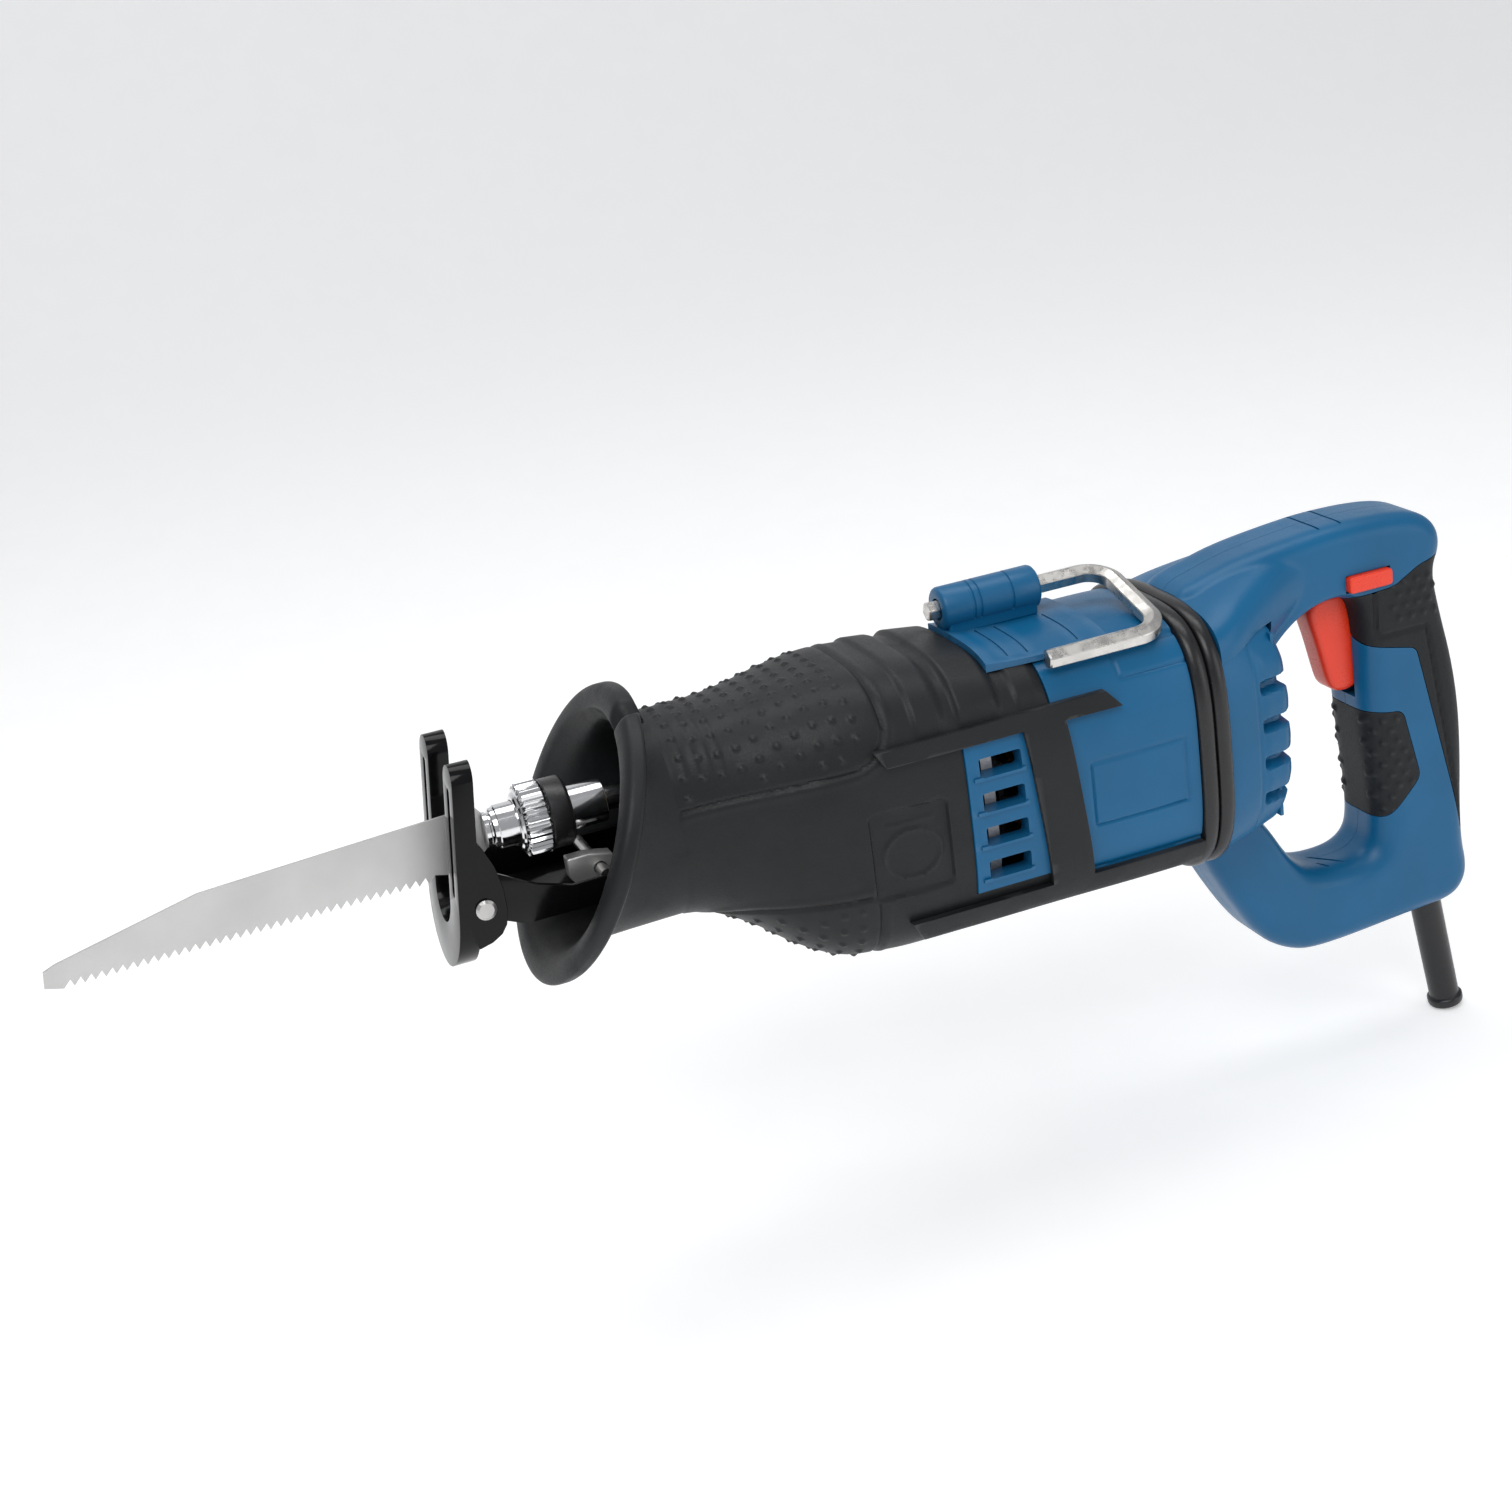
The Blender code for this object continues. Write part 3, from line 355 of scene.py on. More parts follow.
def rod(start, end, radius, sides=48):
    length = (Vector(end) - Vector(start)).length
    return turned(((0, radius), (length, radius)), start, Vector(end) - Vector(start), sides)


def sweep(path, radius, sides=10):
    """A round bar along a path that lies level."""
    points = np.array(path, float)
    along = np.gradient(points, axis=0)
    along /= np.linalg.norm(along, axis=1)[:, None]
    rings = []
    for point, way in zip(points, along):
        side = np.cross(way, (0, 0, 1))
        turns = [2 * math.pi * i / sides for i in range(sides)]
        around = [side * math.cos(a) + np.array((0, 0, math.sin(a))) for a in turns]
        rings.append([point + radius * spoke for spoke in around])
    return loft(rings)


def plate(outline, depth, plane="XZ"):
    """A flat outline given thickness, drawn in the XZ or YZ plane."""
    rings = []
    for d in depth:
        rings.append([(a, d, b) if plane == "XZ" else (d, a, b) for a, b in outline])
    mesh = loft(rings)
    return applied(mesh, "TRIANGULATE") if len(outline) > 4 else mesh


def arc(ca, cb, radius, start, end, steps=20):
    turns = [math.radians(start + (end - start) * i / steps) for i in range(steps + 1)]
    return [(ca + radius * math.cos(a), cb + radius * math.sin(a)) for a in turns]


def smoothed(points, rounds=2, closed=True):
    """An outline with its corners cut and cut again, so that it curves."""
    p = np.array(points, float)
    for _ in range(rounds):
        after = np.roll(p, -1, axis=0) if closed else p[1:]
        here = p if closed else p[:-1]
        pairs = np.stack((0.75 * here + 0.25 * after, 0.25 * here + 0.75 * after), 1)
        new = pairs.reshape(-1, p.shape[1])
        p = new if closed else np.vstack((p[:1], new, p[-1:]))
    return p


def rounded(points, radius, steps=5):
    """A closed outline whose corners are replaced by short curves that start radius away."""
    p = np.array(points, float)
    made = []
    for before, corner, after in zip(np.roll(p, 1, axis=0), p, np.roll(p, -1, axis=0)):
        a = corner + (before - corner) * min(0.45, radius / np.linalg.norm(before - corner))
        b = corner + (after - corner) * min(0.45, radius / np.linalg.norm(after - corner))
        for t in np.linspace(0, 1, steps):
            made.append(a * (1 - t) ** 2 + corner * 2 * t * (1 - t) + b * t * t)
    return np.array(made)


def grown(points, amount):
    """A closed outline moved outwards by amount, or inwards if it is negative."""
    p = np.array(points, float)[:, :2]
    before, after = np.roll(p, 1, axis=0), np.roll(p, -1, axis=0)
    way = after - before
    way /= np.linalg.norm(way, axis=1)[:, None]
    area = np.sum(p[:, 0] * after[:, 1] - after[:, 0] * p[:, 1])
    normal = np.stack((way[:, 1], -way[:, 0]), 1) * math.copysign(1, area)
    return [tuple(q) for q in p + normal * np.broadcast_to(amount, len(p))[:, None]]


def edge_levels(half, round_over, steps=6):
    """Pairs of y and how far the edge has turned, 0 to 1, across a slab with rounded edges."""
    turns = [math.pi / 2 * i / steps for i in range(steps + 1)]
    near = [(half - round_over + round_over * math.sin(a), 1 - math.cos(a)) for a in turns]
    return [(-y, turn) for y, turn in reversed(near)] + near


def pillow(outline, low, high, growth, round_over):
    """A slab of an XZ outline between two depths, whose edges round over."""
    middle, half = (low + high) / 2, (high - low) / 2
    rings = []
    for y, turn in edge_levels(half, round_over):
        ring = grown(outline, growth - round_over * turn)
        rings.append([(x, middle + y, z) for x, z in ring])
    return loft(rings)


def station(x, table=BODY):
    """Centre height, half width, half height and squareness at x, on smooth curves."""
    table = np.array(table, float)
    slopes = np.gradient(table[:, 1:], table[:, 0], axis=0)
    i = int(np.clip(np.searchsorted(table[:, 0], x) - 1, 0, len(table) - 2))
    span = table[i + 1, 0] - table[i, 0]
    t = (x - table[i, 0]) / span
    a, b = 2 * t**3 - 3 * t**2 + 1, -2 * t**3 + 3 * t**2
    c, d = (t**3 - 2 * t**2 + t) * span, (t**3 - t**2) * span
    return a * table[i, 1:] + b * table[i + 1, 1:] + c * slopes[i] + d * slopes[i + 1]


def section(x, centre, half_width, half_height, square, lean=0.0, inset=0.0, sides=200):
    """A ring of points round the body at x: a circle pulled out towards a box, evenly spaced."""
    a = np.linspace(0, 2 * math.pi, 1441)
    c, s = np.cos(a), np.sin(a)
    y = (half_width - inset) * np.sign(c) * np.abs(c) ** (2 / square)
    z = (half_height - inset) * np.sign(s) * np.abs(s) ** (2 / square)
    run = np.concatenate(([0], np.cumsum(np.hypot(np.diff(y), np.diff(z)))))
    at = run[-1] * (np.arange(sides) + 0.5) / sides
    y, z = np.interp(at, run, y), np.interp(at, run, z)
    return np.stack((x + lean * z, y, centre + z), 1)


def body_ring(x, inset=0.0, sides=200):
    return section(x, *station(x), inset=inset, sides=sides)


def spaced(x0, x1, step):
    return list(np.linspace(x0, x1, max(2, int(round((x1 - x0) / step)) + 1)))


def body_tube(x0, x1, outer, inner, step=2.0, sides=200):
    """A hollow length of the body's shape between two insets."""
    xs = spaced(x0, x1, step)
    rings = [body_ring(x, outer, sides) for x in xs]
    rings += [body_ring(x, inner, sides) for x in (x1, x0)]
    return loft(rings, closed=True)


def normals_of(grid):
    """Outward unit normals of a grid of rings round the X axis."""
    along = np.gradient(grid, axis=0)
    around = np.roll(grid, -1, axis=1) - np.roll(grid, 1, axis=1)
    normal = np.cross(around, along)
    normal /= np.linalg.norm(normal, axis=2)[:, :, None]
    middle = grid.mean(axis=1, keepdims=True)
    inward = np.sum(normal * (grid - middle), axis=2).mean() < 0
    return -normal if inward else normal


def step_up(value, width):
    """0 below zero and 1 above width, on a smooth ramp."""
    t = np.clip(value / width, 0, 1)
    return t * t * (3 - 2 * t)


def box_distance(x, z, x_range, z_range, corner):
    """Signed distance to a rectangle with round corners: negative inside it."""
    mx, mz = sum(x_range) / 2, sum(z_range) / 2
    dx = np.abs(x - mx) - (x_range[1] - x_range[0]) / 2 + corner
    dz = np.abs(z - mz) - (z_range[1] - z_range[0]) / 2 + corner
    outside = np.hypot(np.maximum(dx, 0), np.maximum(dz, 0))
    return outside + np.minimum(np.maximum(dx, dz), 0) - corner


def groove(distance, half_width, depth):
    """A rounded engraved line where the distance is near zero."""
    return -depth * np.clip(1 - (distance / half_width) ** 2, 0, 1)


def dotted(points, centres, radius, height):
    """The height of small domes at the centres, for every point."""
    flat = points.reshape(-1, 3)
    raised = np.zeros(len(flat))
    for centre in centres:
        near = np.abs(flat - centre).max(axis=1) < radius
        d = np.linalg.norm(flat[near] - centre, axis=1)
        raised[near] = np.maximum(raised[near], height * np.clip(1 - (d / radius) ** 2, 0, 1))
    return raised.reshape(points.shape[:-1])


# ---------------------------------------------------------------- boot

UPPER_PAD = dict(x_range=(60, 175), z_range=(1.0, 90), corner=16)
LOWER_PAD = dict(x_range=(60, 164), z_range=(-120, -53), corner=5)
BADGE = dict(x_range=(162, 197), z_range=(-56, -17), corner=3)


def upper_pad(x, z):
    return box_distance(x, z - 0.05 * (x - 130), **UPPER_PAD)


def lower_pad(x, z):
    return box_distance(x, z + 0.012 * np.maximum(118 - x, 0) ** 2, **LOWER_PAD)


def pad_dots(rings):
    """Centres of the raised dots: staggered rows along the boot, inside both pads."""
    centres = []
    for k, ring in enumerate(rings):
        run = np.concatenate(([0], np.cumsum(np.linalg.norm(np.diff(ring, axis=0), axis=1))))
        offset = 4.2 * (k % 2)
        for s in np.arange(offset, run[-1], 8.4):
            p = np.array([np.interp(s, run, ring[:, i]) for i in range(3)])
            if upper_pad(p[0], p[2]) < -4 or lower_pad(p[0], p[2]) < -4:
                centres.append(p)
    return centres


def make_boot():
    """Rubber boot: rolled guard, engraved pads with dots, ribs over the top and a blank badge."""
    rows = smoothed(GUARD, 2, closed=False)
    guard = np.array([section(*row[:5], lean=row[5], sides=360) for row in rows])
    angle = np.arctan2(guard[:, :, 2] + 11.3, -guard[:, :, 1])
    rim = np.clip(1 - np.abs(rows[:, 2] - 60) / 14, 0, 1)[:, None] * (rows[:, 0] < 64)[:, None]
    dip = np.exp(-(((angle - math.radians(72)) / 0.055) ** 2))
    guard[:, :, 2] -= 6.5 * rim * dip
    guard[:, :, 0] += 2.0 * rim * dip

    xs = spaced(90.8, BOOT_REAR_X, 0.85)
    body = np.array([body_ring(x, sides=360) for x in xs])
    x, y, z = body[:, :, 0], body[:, :, 1], body[:, :, 2]
    over, under = upper_pad(x, z), lower_pad(x, z)
    raise_by = groove(over, 1.1, 1.0) + groove(under, 1.1, 1.0)
    raise_by += 0.5 * step_up(over - 1.1, 2.5) * step_up(6 - over, 4)
    raise_by += 0.5 * step_up(under - 1.1, 2.5) * step_up(6 - under, 4)
    raise_by += dotted(body, pad_dots(body[5:-1:9]), 1.5, 1.1)
    fade = step_up(z - 8, 8)
    for start, end, height in RIBS:
        band = step_up(x - start, 2.0) * step_up(end - x, 5)
        raise_by += height * band * fade
    raise_by += 0.35 * fade * sum(np.exp(-(((x - at) / 0.9) ** 2)) for at in FOLDS)
    flank = np.abs(y) > 30
    badge = box_distance(x, z, **BADGE)
    raise_by -= 1.5 * step_up(-badge, 1.0) * flank
    ring = np.abs(np.hypot((x - 180) / 12.5, (z + 38) / 10.5) - 1) * 11
    raise_by += 0.9 * np.clip(1 - (ring / 1.0) ** 2, 0, 1) * flank
    bar = np.clip(1 - (np.abs(z + 24) / 0.9) ** 2, 0, 1) * (np.abs(x - 180) < 11)
    raise_by += 0.5 * bar * flank
    end_round = np.clip((x - (BOOT_REAR_X - 1.2)) / 1.2, 0, 1)
    raise_by -= 0.7 * end_round**2
    body = body + normals_of(body) * raise_by[:, :, None]
    lining = np.array([body_ring(x, BOOT_WALL, 360) for x in (BOOT_REAR_X, 205, 150, 118, 100, 88)])
    shell = loft([*guard, *body, *lining], closed=True)
    window = block(WINDOW_X, (-80, 80), WINDOW_Z)
    piece("boot_skin", cut(shell, window), "rubber", "housing", "boot", sharp=50)


# ---------------------------------------------------------------- motor housing, rings and cap


def make_motor_housing():
    """Blue housing: engraved plates on the flanks, and slotted panels in the boot's windows."""
    x0, x1 = BOOT_REAR_X + 0.4, 312.0
    xs = spaced(x0, x1, 0.8)
    body = np.array([body_ring(x, sides=420) for x in xs])
    x, y, z = body[:, :, 0], body[:, :, 1], body[:, :, 2]
    flank = np.abs(y) > 28
    raise_by = groove(box_distance(x, z, (262, 306), (-48, -20), 0.6), 0.8, 0.8) * flank
    raise_by += groove(box_distance(x, z, (281, 330), (11, 21), 0.6), 0.8, 0.7)
    raise_by -= 0.8 * step_up(-66.5 - z, 1.2) * step_up(z + 69.5, 1.2) * flank
    raise_by += 0.6 * step_up(z - 21, 1.5) * step_up(x - 284, 1.5)
    body = body + normals_of(body) * raise_by[:, :, None]
    under = [body_ring(x, BOOT_WALL + 0.3, 420) for x in (206.4, 228, x0)]
    inside = [body_ring(x, 6.4, 420) for x in (x1, 250, 228, 206.4)]
    tube = loft([*under, *body, *inside], closed=True)
    holes = []
    for h in VENT_HEIGHTS:
        holes.append(bevelled(block((212, 231), (-80, 80), (h - VENT_HALF, h + VENT_HALF)), 1.2, 3))
    low, high = WINDOW_Z[0] + 0.3, WINDOW_Z[1] - 0.3
    band = body_tube(WINDOW_X[0] + 0.4, WINDOW_X[1] + 1, -0.9, 5, 3, 160)
    panel = bevelled(shared(band, block((200, 260), (-80, 80), (low, high))), 0.7, 2, 45)
    ledges = []
    for h in VENT_HEIGHTS:
        rim = body_tube(209, 232, -1.9, -0.6, 3, 160)
        ledges.append(shared(rim, block((208, 233), (-80, 80), (h - 5.2, h - 3.6))))
    whole = joined(tube, panel, *ledges)
    piece("motor_housing_skin", cut(whole, *holes), "blue", "housing", "motor_housing", sharp=40)


def make_bumpers():
    """Rails and strap on each flank, with chamfered edges."""
    outline = [(168, 9), (272, 9), (278, 2), (252, 2), (259, -69), (312, -69), (312, -79)]
    outline += [(182, -79), (176, -69), (240, -69), (233, 2), (172, 2)]
    for side, label in ((-1, "left"), (1, "right")):
        band = body_tube(160, 318, -3.2, -0.25, 4, 220)
        prism = plate(outline, tuple(sorted((side * 20, side * 62))))
        rail = bevelled(shared(band, prism), 1.5, 3, 40)
        piece(f"bumper_{label}_skin", rail, "rubber", "housing", f"bumper_{label}", sharp=40)


def make_rings():
    """Two soft round rings between the motor housing and the handle."""
    for label, (x0, x1) in zip(("front", "rear"), RINGS):
        half, middle = (x1 - x0) / 2, (x0 + x1) / 2
        loops = []
        for i in range(15):
            a = math.pi * i / 14
            inset = -2.8 * math.sin(a) ** 0.7 + 0.2
            loops.append(body_ring(middle - half * math.cos(a), inset, 260))
        loops += [body_ring(x1, 7, 260), body_ring(x0, 7, 260)]
        piece(f"ring_{label}_skin", loft(loops, closed=True), "ring_rubber", "housing",
              f"damping_ring_{label}", sharp=40)


def make_end_cap():
    """Rear cap with four scooped air gaps on each side of its rounded rear edge."""
    xs = spaced(328, 362, 0.7)
    body = np.array([body_ring(x, sides=420) for x in xs])
    x, y, z = body[:, :, 0], body[:, :, 1], body[:, :, 2]
    side = step_up(np.abs(y) - 24, 5)
    lower = -np.maximum(0, x - 355.5) ** 2 * 0.075
    lower -= 0.5 * np.exp(-(((x - 343.5) / 0.7) ** 2)) * (np.abs(y) > 25)
    for height in LOUVRE_HEIGHTS:
        gap = step_up(3.4 - np.abs(z - height), 2.2) * step_up(x - 345, 3.0)
        lower -= 5.2 * gap * side
        lower += 0.7 * np.exp(-(((z - height - 8.5) / 5) ** 2)) * step_up(x - 345, 4) * side
    body = body + normals_of(body) * lower[:, :, None]
    body[:, :, 0] = np.minimum(body[:, :, 0], 362)
    inside = [body_ring(x, 11, 420) for x in (357, 328)]
    cap = loft([*inside, *body], closed=True)
    bridge = block((356.5, 358), (-38, 38), (-74, 10))
    piece("end_cap_skin", joined(cap, bridge), "blue", "housing", "end_cap", sharp=40)


# ---------------------------------------------------------------- handle


def make_handle():
    """Moulded handle: slab, opening and flare blended into one skin, then split and inlaid."""
    outer = smoothed(HANDLE_OUTLINE, 3)
    opening = smoothed(OPENING_OUTLINE, 3)
    slab = pillow(outer, -HANDLE_HALF, HANDLE_HALF, 0, HANDLE_ROUND)
    levels = [(-60, 1)] + edge_levels(HANDLE_HALF, OPENING_ROUND) + [(60, 1)]
    rings = []
    for y, turn in levels:
        ring = grown(opening, np.maximum(opening[:, 2], 0) * turn)
        rings.append([(x, y, z) for x, z in ring])
    hole = loft(rings)
    flare_rows = smoothed([(320, *SHOULDER[0][1:])] + list(SHOULDER), 2, closed=False)
    flare = loft([section(*row, sides=160) for row in flare_rows])
    whole = joined(cut(slab, hole), cut(flare, hole.copy()))
    whole = applied(whole, "REMESH", mode="VOXEL", voxel_size=1.0)
    whole = applied(whole, "SMOOTH", iterations=9, factor=0.5)
    whole = cut(whole, loft([body_ring(x, -0.3, 120) for x in (300, 312, 330, 346, 362.3)]),
                block((290, 328), (-70, 70), (-200, 70)))

    trigger_slot = block((400, 431), (-8.3, 8.3), (-42.5, 9.9))
    lock_slot = block((406.7, 429.3), (-40, 40), (10.9, 19.1))
    pads = []
    for name, outline, corner in (("rear_grip", REAR_PAD, 3), ("front_grip", FRONT_PAD, 4)):
        prism = plate(grown(rounded(outline, corner), -0.25), (-30, 30))
        pads.append(plate(grown(rounded(outline, corner), 0.15), (-40, 40)))
        grip = cut(shared(whole.copy(), prism), lock_slot.copy(), trigger_slot.copy())
        dress_grip(grip, name)
        piece(f"{name}_skin", grip, "grip", "housing", name, sharp=45)

    lines = []
    for x in (398, 409):
        lines.append(block((x, x + 1.1), (-13, 13), (40.4, 46)))
    cord_hole = rod(GUARD_TOP, Vector(GUARD_TOP) + Vector(GUARD_AXIS) * 40, 7.6)
    shell = cut(whole, *pads, trigger_slot, lock_slot, cord_hole)
    for x in (372, 380):
        path = [(x + 24 * t, 9 - 20 * t**1.6) for t in np.linspace(0, 1, 14)]
        lines.append(sweep([(px, py, -119.5) for px, py in path], 0.9, 10))
    shell = cut(shell, *lines)
    for x, z in SCREWS:
        shell = cut(shell, rod((x, 17.1, z), (x, 60, z), 4.3))
    for side, label in ((-1, "left"), (1, "right")):
        keep = block((300, 500), tuple(sorted((side * 0.12, side * 70))), (-200, 70))
        piece(f"handle_{label}_skin", shared(shell.copy(), keep), "blue", "housing",
              f"handle_{label}", sharp=38)


def well_inside(spot, outline, margin):
    """Whether a point is at least margin inside a clockwise outline."""
    x, z = spot
    for (ax, az), (bx, bz) in zip(outline, (*outline[1:], outline[0])):
        if (bx - ax) * (z - az) - (bz - az) * (x - ax) >= -margin * math.hypot(bx - ax, bz - az):
            return False
    return True


def dot_rows(x, z, pitch, rows, columns):
    """Staggered rows of dots that run back and down from a first one."""
    places = [(row, column) for row in range(rows) for column in range(columns)]
    return [(x + pitch * (column + (row % 2) / 2), z - 5.4 * row) for row, column in places]


def dress_grip(mesh, name):
    """Raises dots on a soft grip and engraves the line inside the rear one."""
    points = np.empty(len(mesh.vertices) * 3)
    normals = np.empty(len(mesh.vertices) * 3)
    mesh.vertices.foreach_get("co", points)
    mesh.vertices.foreach_get("normal", normals)
    points, normals = points.reshape(-1, 3), normals.reshape(-1, 3)
    x, z = points[:, 0], points[:, 2]
    flank = np.abs(points[:, 1]) > 9
    height = np.zeros(len(points))
    if name == "front_grip":
        spots = [s for s in dot_rows(404, -53, 6.4, 9, 6) if well_inside(s, FRONT_PAD, 2.5)]
    else:
        spots = dot_rows(430, 10, 6.2, 4, 4)
        corner = np.where(x < 447, np.abs(box_distance(x, z, (421, 520), (-13, 60), 4)), 99)
        tail = np.where(z < -13, np.abs((x - 447) - (-13 - z) * 0.15), 99)
        height += groove(np.minimum(corner, tail), 1.3, 1.1) * flank
    for dot_x, dot_z in spots:
        d = np.hypot(x - dot_x, z - dot_z)
        height += 1.2 * np.clip(1 - (d / 1.8) ** 2, 0, 1) * flank
    mesh.vertices.foreach_set("co", (points + normals * height[:, None]).ravel())
    mesh.update()


# ---------------------------------------------------------------- controls, cord sleeve and screws


def lobed(angle, _):
    """The radius of a six-lobed socket."""
    return 1.75 + 0.28 * math.cos(6 * angle)


def make_controls():
    """Rounded trigger and lock bar, the cord's sleeve and the screws with their lobed sockets."""
    outline = [(395.5, 2), (399, 7.6), (424, 7.6), (424, -34), (416, -38), (410, -38.5)]
    outline += [(405, -36), (402.5, -27), (399.5, -14), (396.5, -4)]
    shape = pillow(smoothed(outline, 2), -7.5, 7.5, 0.6, 3.2)
    piece("trigger_skin", shape, "red", "trigger", "trigger")
    bar = rounded([(407, 11.2), (429, 11.2), (429, 18.8), (407, 18.8)], 2.2)
    shape = pillow(bar, -22.5, 21, 0, 1.2)
    piece("lock_button_skin", shape, "red", "lock_button", "lock_button")

    profile = [(0, 9.4), (3, 9.4), (3, 7.3), (72.5, 7.0), (73, 7.9), (73.6, 8.3), (76, 8.3)]
    profile += [(76.8, 8.0), (77.2, 7.4), (77.2, 4.3), (0, 4.3), (0, 9.4)]
    sleeve = turned(profile, GUARD_TOP, GUARD_AXIS, 64)
    piece("cord_sleeve_skin", sleeve, "ring_rubber", "housing", "cord_guard")
    head = ((0, 1.6), (1, 2.2), (25.4, 2.2), (25.4, 3.9), (26.4, 3.9), (27.1, 3.5), (27.4, 2.8))
    for i, (x, z) in enumerate(SCREWS):
        screw = turned(head, (x, -8, z), (0, 1, 0), 40)
        socket = turned(((25.4, 1), (30, 1)), (x, -8, z), (0, 1, 0), 60, shape=lobed)
        name = f"handle_screw_{i + 1}"
        piece(f"{name}_skin", cut(screw, socket), "steel", "housing", name)


# ---------------------------------------------------------------- hook and its saddle


def make_hook():
    """Saddle with a ribbed barrel and grooved wings, and the worn hexagonal hook in it."""
    wings = shared(body_tube(227, 283, -3.2, -0.4, 3, 240), block((220, 290), (-34, 22), (0, 60)))
    lines = []
    for x in (238, 247, 270):
        arch = body_tube(x, x + 1.0, -4.5, -2.6, 1, 200)
        lines.append(shared(arch, block((220, 290), (-31, 1), (0, 60))))
    wings = bevelled(cut(wings, *lines), 0.5, 2, 40)
    barrel = [(0, 8.2), (0.6, 9.0), (1.6, 9.4)]
    for at in (13.0, 16.0, 31.0):
        barrel += [(at, 9.4), (at + 0.3, 8.9), (at + 0.9, 8.9), (at + 1.2, 9.4)]
    barrel += [(43.4, 9.4), (44.4, 9.0), (45, 8.2)]
    tube = turned(barrel, (227, HOOK_Y, HOOK_Z), (1, 0, 0), 72)
    foot = bevelled(block((229, 270), (HOOK_Y - 7.5, HOOK_Y + 7.5), (29.5, 36)), 1.2, 3)
    bore = rod((200, HOOK_Y, HOOK_Z), (300, HOOK_Y, HOOK_Z), HOOK_R + 0.5)
    saddle = cut(joined(wings, tube, foot), bore)
    piece("hook_saddle_skin", saddle, "blue", "housing", "hook_saddle", sharp=38)

    far, near = np.array((0, HOOK_Y, HOOK_Z)), np.array((0, HOOK_TIP_Y, HOOK_TIP_Z))
    width = float(np.linalg.norm(near - far))
    across = (near - far) / width
    bend, reach = HOOK_BEND, HOOK_REACH
    path = [(222, 0), (222.8, 0), (250, 0)]
    path += arc(reach - bend, bend, bend, -90, 0, 18)
    path += arc(reach - bend, width - bend, bend, 0, 90, 18)
    path += [(251.8, width), (251, width)]
    flat = np.array(path, float)
    along = np.gradient(flat, axis=0)
    along /= np.linalg.norm(along, axis=1)[:, None]
    forward = np.array((1.0, 0, 0))
    lift = np.cross(forward, across)
    corner = []
    for i in range(6):
        for turn in (-4, 4):
            a = math.radians(60 * i + 30 + turn)
            corner.append((math.cos(a), math.sin(a)))
    rings = []
    for i, ((x, out), (ax, ao)) in enumerate(zip(flat, along)):
        centre = far + across * out + forward * x
        side = forward * -ao + across * ax
        radius = HOOK_R * (0.84 if i in (0, len(flat) - 1) else 0.99)
        rings.append([centre + radius * (side * c + lift * s) for c, s in corner])
    piece("hanging_hook_skin", loft(rings), "hook_steel", "hook", "hanging_hook", sharp=25)


# ---------------------------------------------------------------- clamp and shoe


def make_clamp():
    """Stepped nose, knurled collar and soft ring."""
    nose = ((0, 6.4), (0.5, 7.2), (2.2, 7.2), (2.6, 6.6), (3.3, 6.6), (3.7, 8.2), (5.4, 8.4))
    nose += ((5.8, 9.0), (50, 9.0), (50.3, 8.7))
    body = turned(nose, CLAMP_NOSE, (1, 0, 0), 96)
    slot = block((CLAMP_NOSE[0] - 4, 44), (-0.95, 0.95), (-6.4, 6.4))
    bore = rod((45, 0, 0), (90, 0, 0), 5.3)
    piece("clamp_nose", cut(body, slot, bore), "chrome", "plunger", "clamp_body")

    def knurled(angle, radius):
        ridge = abs((angle * KNURLS / math.pi) % 2 - 1)
        return radius - (1.05 * min(1, 1.5 * ridge) if radius > 14.2 else 0)

    bore_r = COLLAR_BORE_R
    collar = ((0, 10.6), (0.6, 11.6), (1.4, 12.0), (1.8, 13.2), (2.6, 14.9), (3.2, 15.2))
    collar += ((11.2, 15.2), (12, 14.6), (12, bore_r), (0, bore_r), (0, 10.6))
    shape = turned(collar, (COLLAR_X, 0, 0), (1, 0, 0), 408, shape=knurled)
    piece("clamp_collar_skin", shape, "chrome", "clamp_collar", "clamp_collar", sharp=20)
    grip = ((0, 13.9), (0.6, 14.4), (7.6, 14.4), (8.6, 14.0), (9.4, 13.0), (9.4, bore_r))
    grip += ((0, bore_r), (0, 13.9))
    shape = turned(grip, (SOFT_RING_X, 0, 0), (1, 0, 0), 96)
    piece("clamp_ring_skin", shape, "ring_rubber", "clamp_collar", "clamp_grip_ring")


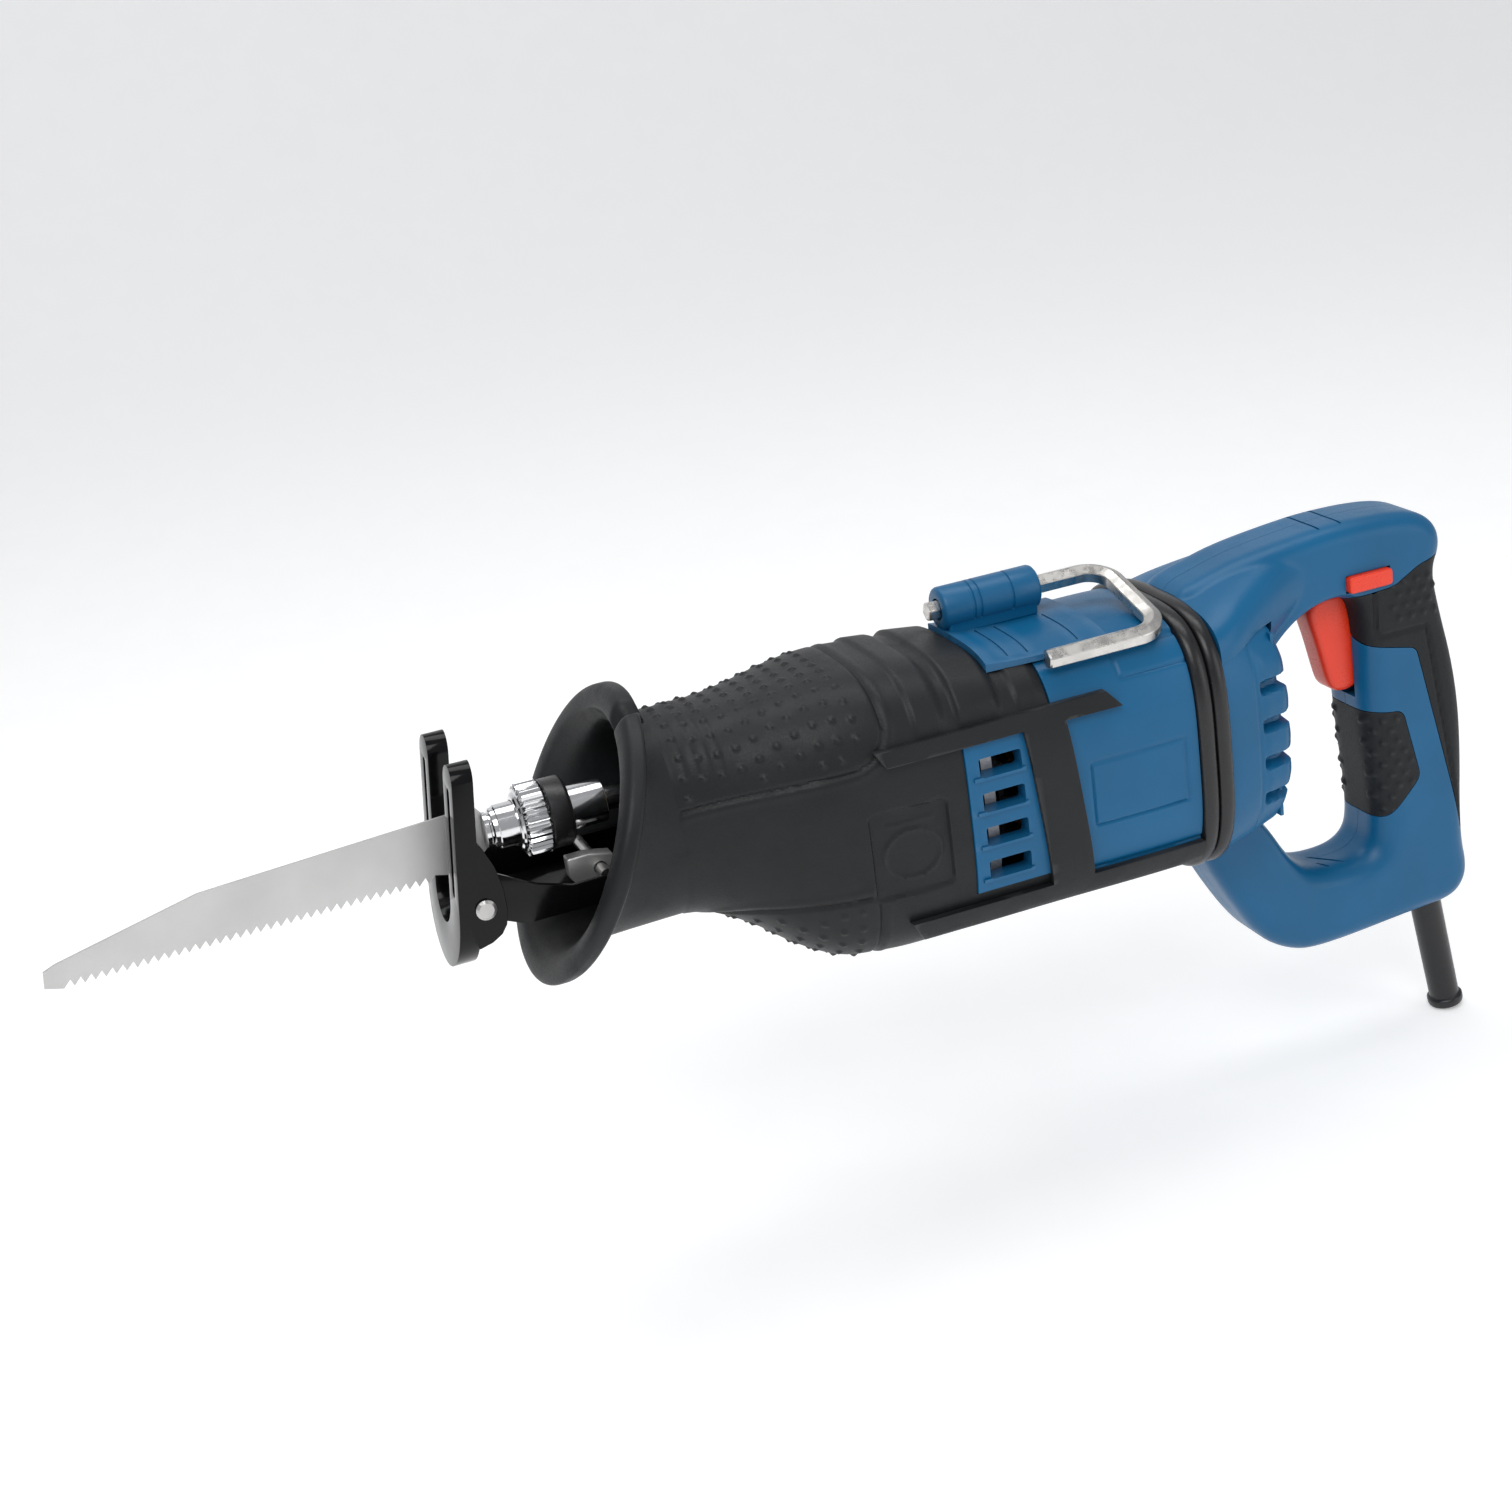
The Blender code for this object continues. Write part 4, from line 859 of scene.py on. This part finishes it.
def make_shoe():
    """Pressed fork with rolled edges and a channel down each prong, its arm and the lever."""
    prong_half = (SHOE_HALF - SHOE_SLOT_HALF) / 2
    low, top, middle = -51 + SHOE_HALF, 38 - prong_half, SHOE_HALF - prong_half
    outline = arc(0, low, SHOE_HALF, 180, 360, 36)[:-1]
    outline += arc(middle, top, prong_half, 0, 180, 20)
    outline += arc(0, -20.0, SHOE_SLOT_HALF, 0, -180, 24)
    outline += arc(-middle, top, prong_half, 0, 180, 20)[:-1]
    face = plate(outline, (SHOE_FACE_X, SHOE_FACE_X + SHOE_DEPTH), "YZ")
    recess = (SHOE_FACE_X + SHOE_T, SHOE_FACE_X + SHOE_DEPTH + 2)
    back = plate(grown(outline, -SHOE_T), recess, "YZ")
    pressed = cut(face, back)
    channels = []
    for side in (-1, 1):
        shape = arc(side * middle, 27, 1.9, 0, 180, 10) + arc(side * middle, -14, 1.9, 180, 360, 10)
        channels.append(plate(shape, (SHOE_FACE_X - 3, SHOE_FACE_X + 1.1), "YZ"))
    pressed = bevelled(cut(pressed, *channels), 1.0, 4, 40)
    for v in pressed.vertices:
        v.co.x += SHOE_LEAN * v.co.z
    ear = smoothed([(3, 16), (10, 8), (17, -10), (17, -28), (12, -35), (0, -38)], 1)
    ears = []
    for side in (-1, 1):
        depth = tuple(sorted((side * (SHOE_HALF - SHOE_T), side * (SHOE_HALF - 0.1))))
        ears.append(bevelled(plate(ear, depth), 0.5, 2))
    hole = rod((PIVOT_X, -40, PIVOT_Z), (PIVOT_X, 40, PIVOT_Z), 2.9)
    piece("shoe_skin", cut(joined(pressed, *ears), hole), "gloss_black", "shoe", "shoe", sharp=40)

    side_view = arc(PIVOT_X, PIVOT_Z, 4.6, 250, 110, 14)
    side_view += [(15, -9), (31, -18), (45, -22.5), (135, -22.5), (135, -33), (24, -33)]
    outer = bevelled(plate(side_view, (-ARM_HALF, ARM_HALF)), 0.9, 3, 20)
    inner = ARM_HALF - 2.4
    trough = plate([(0, 0), (140, 0), (140, -31), (22, -31), (0, -50)], (-inner, inner))
    lever_way = block((43, 70), (-13.5, -5), (-40, -25))
    arm = cut(outer, trough, lever_way, hole.copy())
    shape = bevelled(arm, 0.4, 2, 50)
    piece("shoe_arm_skin", shape, "gloss_black", "shoe_arm", "shoe_arm", sharp=40)
    lever = [(47, -16.5), (56, -16.5), (66, -18.5), (66, -26), (62, -28.5), (50, -28.5), (47, -25)]
    lever_block = bevelled(plate(lever, (-12.5, -6)), 0.8, 3)
    pin_hole = rod((LEVER_X, -40, LEVER_Z), (LEVER_X, 40, LEVER_Z), 2.8)
    shape = cut(lever_block, pin_hole)
    piece("shoe_lever_skin", shape, "blade_steel", "shoe_lever", "shoe_lever")


# ---------------------------------------------------------------- stage, lights and camera


def backdrop():
    """A pale floor that curves up into a wall behind the saw."""
    half, depth, bend, tall = 3.5, 2.2, 1.2, 3.5
    profile = [(-2.5, 0)]
    for a in np.linspace(0, math.pi / 2, 16):
        profile.append((depth + bend * math.sin(a), bend * (1 - math.cos(a))))
    profile.append((depth + bend, tall))
    bm = bmesh.new()
    rows = [[bm.verts.new((x, y, z - 0.0004)) for y, z in profile] for x in (-half, half)]
    for i in range(len(profile) - 1):
        bm.faces.new((rows[0][i], rows[1][i], rows[1][i + 1], rows[0][i + 1]))
    mesh = bpy.data.meshes.new("backdrop")
    bm.to_mesh(mesh)
    bm.free()
    mesh.shade_smooth()
    paper = finish("paper", (0.86, 0.86, 0.86), 0.8, grain=120, bump=0.02, tone=0.01)
    lit = paper.node_tree.nodes["Principled BSDF"]
    lit.inputs["Emission Color"].default_value = (1, 1, 1, 1)
    lit.inputs["Emission Strength"].default_value = 0.28
    mesh.materials.append(paper)
    floor = bpy.data.objects.new("backdrop", mesh)
    bpy.context.scene.collection.objects.link(floor)


def area_light(name, place, aim, size, power):
    lamp = bpy.data.lights.new(name, "AREA")
    lamp.shape = "RECTANGLE"
    lamp.size, lamp.size_y = size
    lamp.energy = power
    holder = bpy.data.objects.new(name, lamp)
    holder.location = place
    holder.rotation_euler = (Vector(aim) - Vector(place)).to_track_quat("-Z", "Y").to_euler()
    bpy.context.scene.collection.objects.link(holder)


def make_lights():
    """A big soft key from the front left, a wide top light and a low fill from the right."""
    middle = (0, 0, 0.13)
    area_light("key", (-0.6, -1.0, 1.5), middle, (1.4, 0.9), 15)
    area_light("top", (0.2, 0.3, 1.7), middle, (1.8, 0.7), 11)
    area_light("fill", (1.3, -1.3, 0.6), middle, (0.8, 1.0), 4)
    world = bpy.context.scene.world or bpy.data.worlds.new("studio")
    bpy.context.scene.world = world
    world.use_nodes = True
    sky = world.node_tree.nodes["Background"]
    sky.inputs["Color"].default_value = (0.95, 0.97, 1.0, 1)
    sky.inputs["Strength"].default_value = 0.42


def make_camera():
    """A view from the front left and above, with the horizon tilted."""
    turn, rise, roll = (math.radians(a) for a in (-17.5, 21.0, 8.4))
    level = math.cos(rise)
    back = Vector((math.sin(turn) * level, -math.cos(turn) * level, math.sin(rise)))
    right = Vector((math.cos(turn), math.sin(turn), 0))
    up = back.cross(right)
    c, s = math.cos(roll), math.sin(roll)
    right, up = right * c - up * s, up * c + right * s
    lens = bpy.data.cameras.new("camera")
    lens.sensor_width = 36
    lens.lens = 55.87
    lens.clip_start = 0.01
    eye = bpy.data.objects.new("camera", lens)
    aim = ORIGIN + Vector((135.5, 0, 0.9)) * MM
    turned_to = Matrix((right, up, back)).transposed().to_4x4()
    eye.matrix_world = Matrix.Translation(aim + back * 0.966) @ turned_to
    bpy.context.scene.collection.objects.link(eye)
    bpy.context.scene.camera = eye


for node, look in KEPT.items():
    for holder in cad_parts[node].material_slots:
        holder.material = FINISHES[look]

make_camera()
backdrop()
make_lights()
make_boot()
make_motor_housing()
make_bumpers()
make_rings()
make_end_cap()
make_handle()
make_controls()
make_hook()
make_clamp()
make_shoe()

bpy.context.scene.view_settings.view_transform = "Standard"
